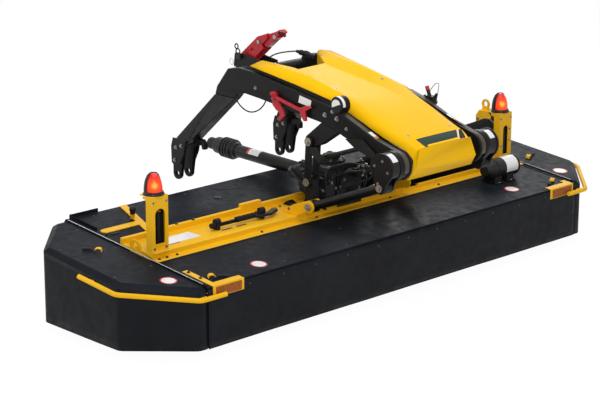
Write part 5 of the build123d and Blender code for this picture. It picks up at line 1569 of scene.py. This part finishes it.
beamSizes = {
    "ribs": [
        # across, height
        [(0.44, 0.0), (0.49, 0.042), (1.00, 0.042), (1.06, 0.0)],
        [(1.09, 0.0), (1.11, 0.0156), (1.20, 0.0156), (1.22, 0.0)],
    ],
    "ribBack": -0.140,
    "ribWall": 0.008,
    "label": (-1.325, -1.080, -0.077, 0.030),  # left, right, front, rear
    # black films over the slots: painted shade inside them
    "slots": [(-0.928, -0.853, -0.082, -0.068), (-0.821, -0.750, -0.082, -0.068)],
    # the ring round the label: middle, right end, and how far its lines lie from the label
    "ring": (-1.300, -1.235, 0.008, 0.002),
    "ringWall": 0.007,
    "ringStretch": 1.05,
    "ringSteps": 12,
    "edgeBolts": (-1.452, -1.40, -1.33, -0.72, -0.30, 0.30, 0.72, 1.20, 1.44),
    "edgeBolt": (-0.170, 0.0065, 0.0075),  # behind, lift, radius
    "bolts": [
        # x, behind, z, radius
        (-1.10, 0.104, 0.500, 0.008), (-0.98, 0.104, 0.500, 0.008), (-0.52, 0.104, 0.500, 0.008),
        (0.52, 0.104, 0.500, 0.008), (0.98, 0.104, 0.500, 0.008), (-0.690, 0.045, 0.468, 0.009),
        (-0.560, 0.050, 0.468, 0.009), (0.690, 0.045, 0.468, 0.009), (0.560, 0.050, 0.468, 0.009),
    ],
    "clampBack": -0.047,
    "clamps": [
        # x from and to, z, radius, sides
        (-0.626, -0.594, 0.512, 0.020, 24), (-0.956, -0.924, 0.512, 0.020, 24),
        (-0.955, -0.985, 0.497, 0.015, 20), (-0.800, -0.660, 0.497, 0.0165, 24),
    ],
}


def markAt(bm, left, right, front, rear):
    z = deckSizes["beamTopZ"]
    signAt(bm, [at(left, front, z), at(right, front, z), at(right, rear, z), at(left, rear, z)], upward)


def makeBeamRing(bm, sizes):
    z = deckSizes["beamTopZ"]
    _, _, front, rear = sizes["label"]
    x, right, far, near = sizes["ring"]
    middle, reach = (front + rear) / 2, (rear - front) / 2 + far
    turns = [math.pi / 2 + math.pi * k / sizes["ringSteps"] for k in range(sizes["ringSteps"] + 1)]
    lines = []
    for wall in (0, sizes["ringWall"]):
        across, along = reach * sizes["ringStretch"] - wall, reach - wall
        lines.append([at(x + across * math.cos(turn), middle + along * math.sin(turn), z) for turn in turns])
    outer, inner = lines
    for a, b, c, d in zip(outer, outer[1:], inner, inner[1:]):
        signAt(bm, [a, b, d, c], upward)
    markAt(bm, x, right, front - far, front - near)
    markAt(bm, x, right, rear + near, rear + far)


def makeBeamDetails(sizes):
    ribs, label, marks, bolts, clamps = (bmesh.new() for _ in range(5))
    for rib in sizes["ribs"]:
        corners = [at(x, sizes["ribBack"], deckSizes["beamTopZ"] + height) for x, height in rib]
        thickPlate(ribs, corners, Vector((0, sizes["ribWall"], 0)))
    finishPiece(ribs, "beamRib", "frameYellow", "mower", bevel=0.001)
    markAt(label, *sizes["label"])
    finishPiece(label, "beamLabels", "labelWhite", "mower")
    # painted shade inside the slots
    for slot in sizes["slots"]:
        markAt(marks, *slot)
    makeBeamRing(marks, sizes)
    finishPiece(marks, "beamMarks", "bandBlack", "mower")
    back, lift, radius = sizes["edgeBolt"]
    for x in sizes["edgeBolts"]:
        boltAt(bolts, at(x, back, deckZ(behind(back)) + lift), deckUp, radius)
    for x, back, z, radius in sizes["bolts"]:
        boltAt(bolts, at(x, back, z), upward, radius)
    finishPiece(bolts, "beamBolts", "screwBlack", "mower")
    for left, right, z, radius, steps in sizes["clamps"]:
        rodAt(clamps, at(left, sizes["clampBack"], z), at(right, sizes["clampBack"], z), radius, segments=steps)
    finishPiece(clamps, "stayClamps", "rubber", "mower", bevel=0.0015)


makeBeamDetails(beamSizes)
print("beam made")

# cables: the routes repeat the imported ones

cordSizes = {
    "cable_upper": {
        # x, behind, z
        "points": [
            (0.0583, 0.655, 1.165), (0.088, 0.655, 1.165), (0.120, 0.625, 1.195), (0.155, 0.562, 1.215),
            (0.188, 0.505, 1.222),
        ],
        "exit": (0.0583, 0.655, 1.165), "length": 0.221, "end": "connector", "lay": "hanging",
    },
    "cable_loop": {
        "points": [
            (-0.2747, 0.600, 1.040), (-0.240, 0.600, 1.040), (-0.208, 0.610, 0.985), (-0.180, 0.592, 0.925),
            (-0.150, 0.545, 0.893), (-0.120, 0.490, 0.915), (-0.100, 0.455, 0.975), (-0.088, 0.470, 1.040),
            (-0.088, 0.5108, 1.0808),
        ],
        "exit": (-0.2747, 0.600, 1.040), "length": 0.481, "end": "object", "lay": "hanging",
    },
}
cordDiameter = 0.008


def makeCord(name, sizes):
    curve = bpy.data.curves.new(name, "CURVE")
    curve.dimensions = "3D"
    curve.bevel_depth = cordDiameter / 2
    curve.bevel_resolution = 4
    curve.use_fill_caps = True
    spline = curve.splines.new("NURBS")
    spline.points.add(len(sizes["points"]) - 1)
    for point, place in zip(spline.points, sizes["points"]):
        point.co = (*at(*place), 1)
    spline.order_u = 3
    spline.use_endpoint_u = True
    spline.resolution_u = 16
    cord = bpy.data.objects.new(name + "_laid", curve)
    bpy.context.scene.collection.objects.link(cord)
    curve.materials.append(finishes["rubber"])
    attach(cord, "mower")
    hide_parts(name)
    return cord


plugSizes = {
    "toward": (0.213, 0.340, 1.203),
    "profile": [
        # along, radius: boot, body with ribs, locking ring, mouth
        (0.001, 0.0045), (0.001, 0.0085), (0.012, 0.0105), (0.026, 0.0125), (0.030, 0.0165), (0.040, 0.0170),
        (0.042, 0.0155), (0.048, 0.0155), (0.050, 0.0170), (0.056, 0.0170), (0.058, 0.0155), (0.064, 0.0155),
        (0.066, 0.0175), (0.094, 0.0175), (0.098, 0.0160), (0.104, 0.0125), (0.140, 0.0120), (0.142, 0.0100),
        (0.142, 0.0),
    ],
    "keys": (0.070, 0.078, 0.086),
    "key": (0.0175, (0.012, 0.004, 0.004)),  # height over the axis, size
}


def makePlug(sizes):
    start, toward = at(*cordSizes["cable_upper"]["points"][-1]), at(*sizes["toward"])
    along = (toward - start).normalized()
    bm = bmesh.new()
    turnProfile(bm, start, toward, sizes["profile"], 28)
    lift, size = sizes["key"]
    for place in sizes["keys"]:
        boxAt(bm, start + along * place + upward * lift, size)
    return finishPiece(
        bm, "cablePlug", "moldedPlastic", "mower", ["cable_connector"], smooth=35,
    )


connector = makePlug(plugSizes)
for name, sizes in cordSizes.items():
    cord = makeCord(name, sizes)
print("cables made")

# corner brackets with reflectors: the left one also has an arm along the hinge

cornerSizes = {
    "outerX": 1.4585,
    "length": 0.212,
    "lip": 0.034,
    "wall": 0.005,
    "out": 0.005,
    "drop": 0.058,
    "gap": 0.0006,
    "frontGap": 0.0004,
    "armWidth": 0.036,
    "armStart": 0.002,  # before the lip's edge
    "arms": {-1: 0.235, 1: 0.064},
    "armGap": 0.0008,
    "armWall": 0.004,
    "bolts": (0.110, 0.205),
    "boltLift": 0.0045,
    "boltRadius": 0.008,
    "reflector": (0.176, 0.004, 0.050),
    "reflectorDrop": 0.029,
}


def makeCornerBrackets(sizes):
    z = deckSizes["frontZ"]
    outY, lipY, wall = frontY - sizes["out"], frontY + sizes["lip"], sizes["wall"]
    profile = [
        (outY - wall, z - sizes["drop"]), (outY, z - sizes["drop"]), (outY, z + sizes["frontGap"]),
        (frontY, z + sizes["gap"]), (lipY, deckZ(lipY) + sizes["gap"]), (lipY, deckZ(lipY) + wall),
        (frontY, z + wall), (outY - wall, z + wall),
    ]
    plates, bolts, reflectors = bmesh.new(), bmesh.new(), bmesh.new()
    for side in (-1, 1):
        edge = side * sizes["outerX"]
        thickPlate(plates, [(edge, y, height) for y, height in profile], Vector((-side * sizes["length"], 0, 0)))
        inner = edge - side * sizes["armWidth"]
        nearY, farY = lipY - sizes["armStart"], frontY + sizes["arms"][side]
        corners = [(edge, nearY), (edge, farY), (inner, farY), (inner, nearY)]
        thickPlate(plates, [(x, y, deckZ(y) + sizes["armGap"]) for x, y in corners], deckUp * sizes["armWall"])
        width, depth, height = sizes["reflector"]
        place = (edge - side * sizes["length"] / 2, outY - wall - depth / 2, z - sizes["reflectorDrop"])
        boxAt(reflectors, place, (width, depth, height))
    for back in sizes["bolts"]:
        y = frontY + back
        place = (-sizes["outerX"] + sizes["armWidth"] / 2, y, deckZ(y) + sizes["boltLift"])
        boltAt(bolts, place, deckUp, sizes["boltRadius"])
    finishPiece(plates, "cornerPlates", "frameYellow", "mower", ["corner_brackets"], 0.0012)
    finishPiece(bolts, "cornerBolts", "screwBlack", "mower")
    finishPiece(reflectors, "cornerReflectors", "reflectorAmber", "mower", ["reflectors"], 0.0012)


makeCornerBrackets(cornerSizes)
print("corners made")

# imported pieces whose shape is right: their edges are rounded and they take their finish

dressSizes = {
    # node: finish, edge rounding
    "main_beam": ("frameYellow", 0.004),
    "front_cover": ("deckPaint", 0.004),
    "rear_cover": ("deckPaint", 0.003),
    "end_cover_left": ("deckPaint", 0.003),
    "end_cover_right": ("deckPaint", 0.003),
    "arm_left": ("framePaint", 0.005),
    "arm_right": ("framePaint", 0.005),
    "leg_left": ("framePaint", 0.005),
    "leg_right": ("framePaint", 0.005),
    "cross_tubes": ("framePaint", 0.003),
    "mast": ("framePaint", 0.003),
    "top_link_hook": ("redPaint", 0.003),
    "lock_hook": ("redPaint", 0.003),
    "pivot_drums": ("framePaint", 0.003),
    "pull_links": ("framePaint", 0.003),
    "link_brackets": ("frameYellow", 0.002),
    "lift_levers": ("framePaint", 0.004),
    "lift_links": ("framePaint", 0.003),
    "gear_stand": ("framePaint", 0.003),
    "gearbox": ("castIron", 0.006),
    "pto_yoke": ("castIron", 0.003),
    "end_drive_housing": ("framePaint", 0.006),
    "lifting_eye": ("frameYellow", 0.002),
    "light_posts": ("frameYellow", 0.0015),
    "guard_tube_left": ("frameYellow", 0.001),
    "guard_tube_right": ("frameYellow", 0.001),
    "hinge_rods": ("deckPaint", 0.0008),
    "rear_braces": ("frameYellow", 0.002),
    "stowed_stay": ("framePaint", 0.003),
    "side_frames": ("framePaint", 0.002),
    "conditioner_hood": ("framePaint", 0.001),
    "conditioner_rotor": ("wornSteel", 0.0015),
    "cutter_bar": ("castIron", 0.004),
    "skid_shoes": ("wornSteel", 0.002),
    **{f"disc_{number}": ("wornSteel", 0.0015) for number in range(1, 9)},
}
seam = 0.00002  # vertices nearer than this are one
flat = math.radians(0.8)


def dressNode(name, finish, rounding):
    bm = bmesh.new()
    bm.from_mesh(nodes[name].data)
    bmesh.ops.remove_doubles(bm, verts=bm.verts, dist=seam)
    bmesh.ops.dissolve_limit(bm, angle_limit=flat, verts=bm.verts, edges=bm.edges)
    finishPiece(bm, name + "_dressed", finish, bodyOf[name], [name], rounding)


for name, (finish, rounding) in dressSizes.items():
    dressNode(name, finish, rounding)
print("packed pieces dressed")

# camera

cameraSizes = {
    "target": (-0.520, -0.358, 0.6),
    "distance": 10.882,
    "azimuth": -44.0,  # degrees from the direction that looks along +Y
    "elevation": 15.73,
    "roll": 0.21,
    "lens": 118.74,
}


def makeCamera(sizes):
    data = bpy.data.cameras.new("camera")
    data.lens = sizes["lens"]
    data.sensor_width = 36
    data.clip_end = 100
    camera = bpy.data.objects.new("camera", data)
    bpy.context.scene.collection.objects.link(camera)
    azimuth = math.radians(sizes["azimuth"])
    elevation = math.radians(sizes["elevation"])
    back = Vector((
        math.sin(azimuth) * math.cos(elevation),
        -math.cos(azimuth) * math.cos(elevation),
        math.sin(elevation),
    ))
    roll = Matrix.Rotation(math.radians(sizes["roll"]), 3, "Z").to_quaternion()
    camera.rotation_mode = "QUATERNION"
    camera.rotation_quaternion = back.to_track_quat("Z", "Y") @ roll
    camera.location = Vector(sizes["target"]) + back * sizes["distance"]
    bpy.context.scene.camera = camera


makeCamera(cameraSizes)
bpy.context.scene.view_settings.view_transform = "Standard"

# floor, backdrop and soft studio lamps

studioSizes = {
    "lamps": {
        # name: place, aimed at, width, length, power
        "overhead": ((-0.5, -1.0, 6.0), (0, 0, 0.4), 5.0, 4.0, 170),
        "frontSoft": ((-5.2, -6.2, 3.4), (0, 0, 0.6), 3.5, 2.5, 165),
        "rightRim": ((5.5, 3.5, 4.0), (0, 0, 0.6), 3.0, 2.0, 85),
        "leftLow": ((-4.5, 3.5, 2.6), (0, 0.2, 0.6), 2.4, 1.6, 60),
    },
    "skyStrength": 0.38,
    "skySeen": 1.04,
    "floorHalf": 40,
    "floorColor": (0.86, 0.86, 0.86, 1),
    "floorRoughness": 0.9,
    "floorGlow": 1.05,
    "floorGlowShare": 0.92,
}


def seenDirectly(tree):
    # 1 for rays from the camera or from a mirror
    path = tree.nodes.new("ShaderNodeLightPath")
    seen = tree.nodes.new("ShaderNodeMath")
    seen.operation = "MAXIMUM"
    tree.links.new(path.outputs["Is Camera Ray"], seen.inputs[0])
    tree.links.new(path.outputs["Is Glossy Ray"], seen.inputs[1])
    return seen.outputs["Value"]


def makeSoftLamp(name, place, aim, width, length, power):
    data = bpy.data.lights.new(name, "AREA")
    data.shape = "RECTANGLE"
    data.size = width
    data.size_y = length
    data.energy = power
    lamp = bpy.data.objects.new(name, data)
    lamp.location = place
    lamp.rotation_mode = "QUATERNION"
    lamp.rotation_quaternion = (Vector(place) - Vector(aim)).to_track_quat("Z", "Y")
    bpy.context.scene.collection.objects.link(lamp)


def makeSky(sizes):
    world = bpy.data.worlds.new("studio")
    world.use_nodes = True
    tree = world.node_tree
    background = tree.nodes["Background"]
    strength = tree.nodes.new("ShaderNodeMapRange")
    strength.inputs["To Min"].default_value = sizes["skyStrength"]
    strength.inputs["To Max"].default_value = sizes["skySeen"]
    tree.links.new(seenDirectly(tree), strength.inputs["Value"])
    tree.links.new(strength.outputs["Result"], background.inputs["Strength"])
    background.inputs["Color"].default_value = (1, 1, 1, 1)
    bpy.context.scene.world = world


def makeFloor(sizes):
    bm = bmesh.new()
    bmesh.ops.create_grid(bm, x_segments=1, y_segments=1, size=sizes["floorHalf"])
    mesh = bpy.data.meshes.new("floor")
    bm.to_mesh(mesh)
    bm.free()
    floor = bpy.data.objects.new("floor", mesh)
    bpy.context.scene.collection.objects.link(floor)
    material = bpy.data.materials.new("paleFloor")
    material.use_nodes = True
    tree = material.node_tree
    shader = tree.nodes["Principled BSDF"]
    shader.inputs["Base Color"].default_value = sizes["floorColor"]
    shader.inputs["Roughness"].default_value = sizes["floorRoughness"]
    shader.inputs["Specular IOR Level"].default_value = 0.0
    glow = tree.nodes.new("ShaderNodeEmission")
    glow.inputs["Strength"].default_value = sizes["floorGlow"]
    share = tree.nodes.new("ShaderNodeMath")
    share.operation = "MULTIPLY"
    share.inputs[1].default_value = sizes["floorGlowShare"]
    mix = tree.nodes.new("ShaderNodeMixShader")
    tree.links.new(seenDirectly(tree), share.inputs[0])
    tree.links.new(share.outputs["Value"], mix.inputs["Fac"])
    tree.links.new(shader.outputs["BSDF"], mix.inputs[1])
    tree.links.new(glow.outputs["Emission"], mix.inputs[2])
    tree.links.new(mix.outputs["Shader"], tree.nodes["Material Output"].inputs["Surface"])
    mesh.materials.append(material)


for name, sizes in studioSizes["lamps"].items():
    makeSoftLamp(name, *sizes)
makeSky(studioSizes)
makeFloor(studioSizes)
print("studio made")
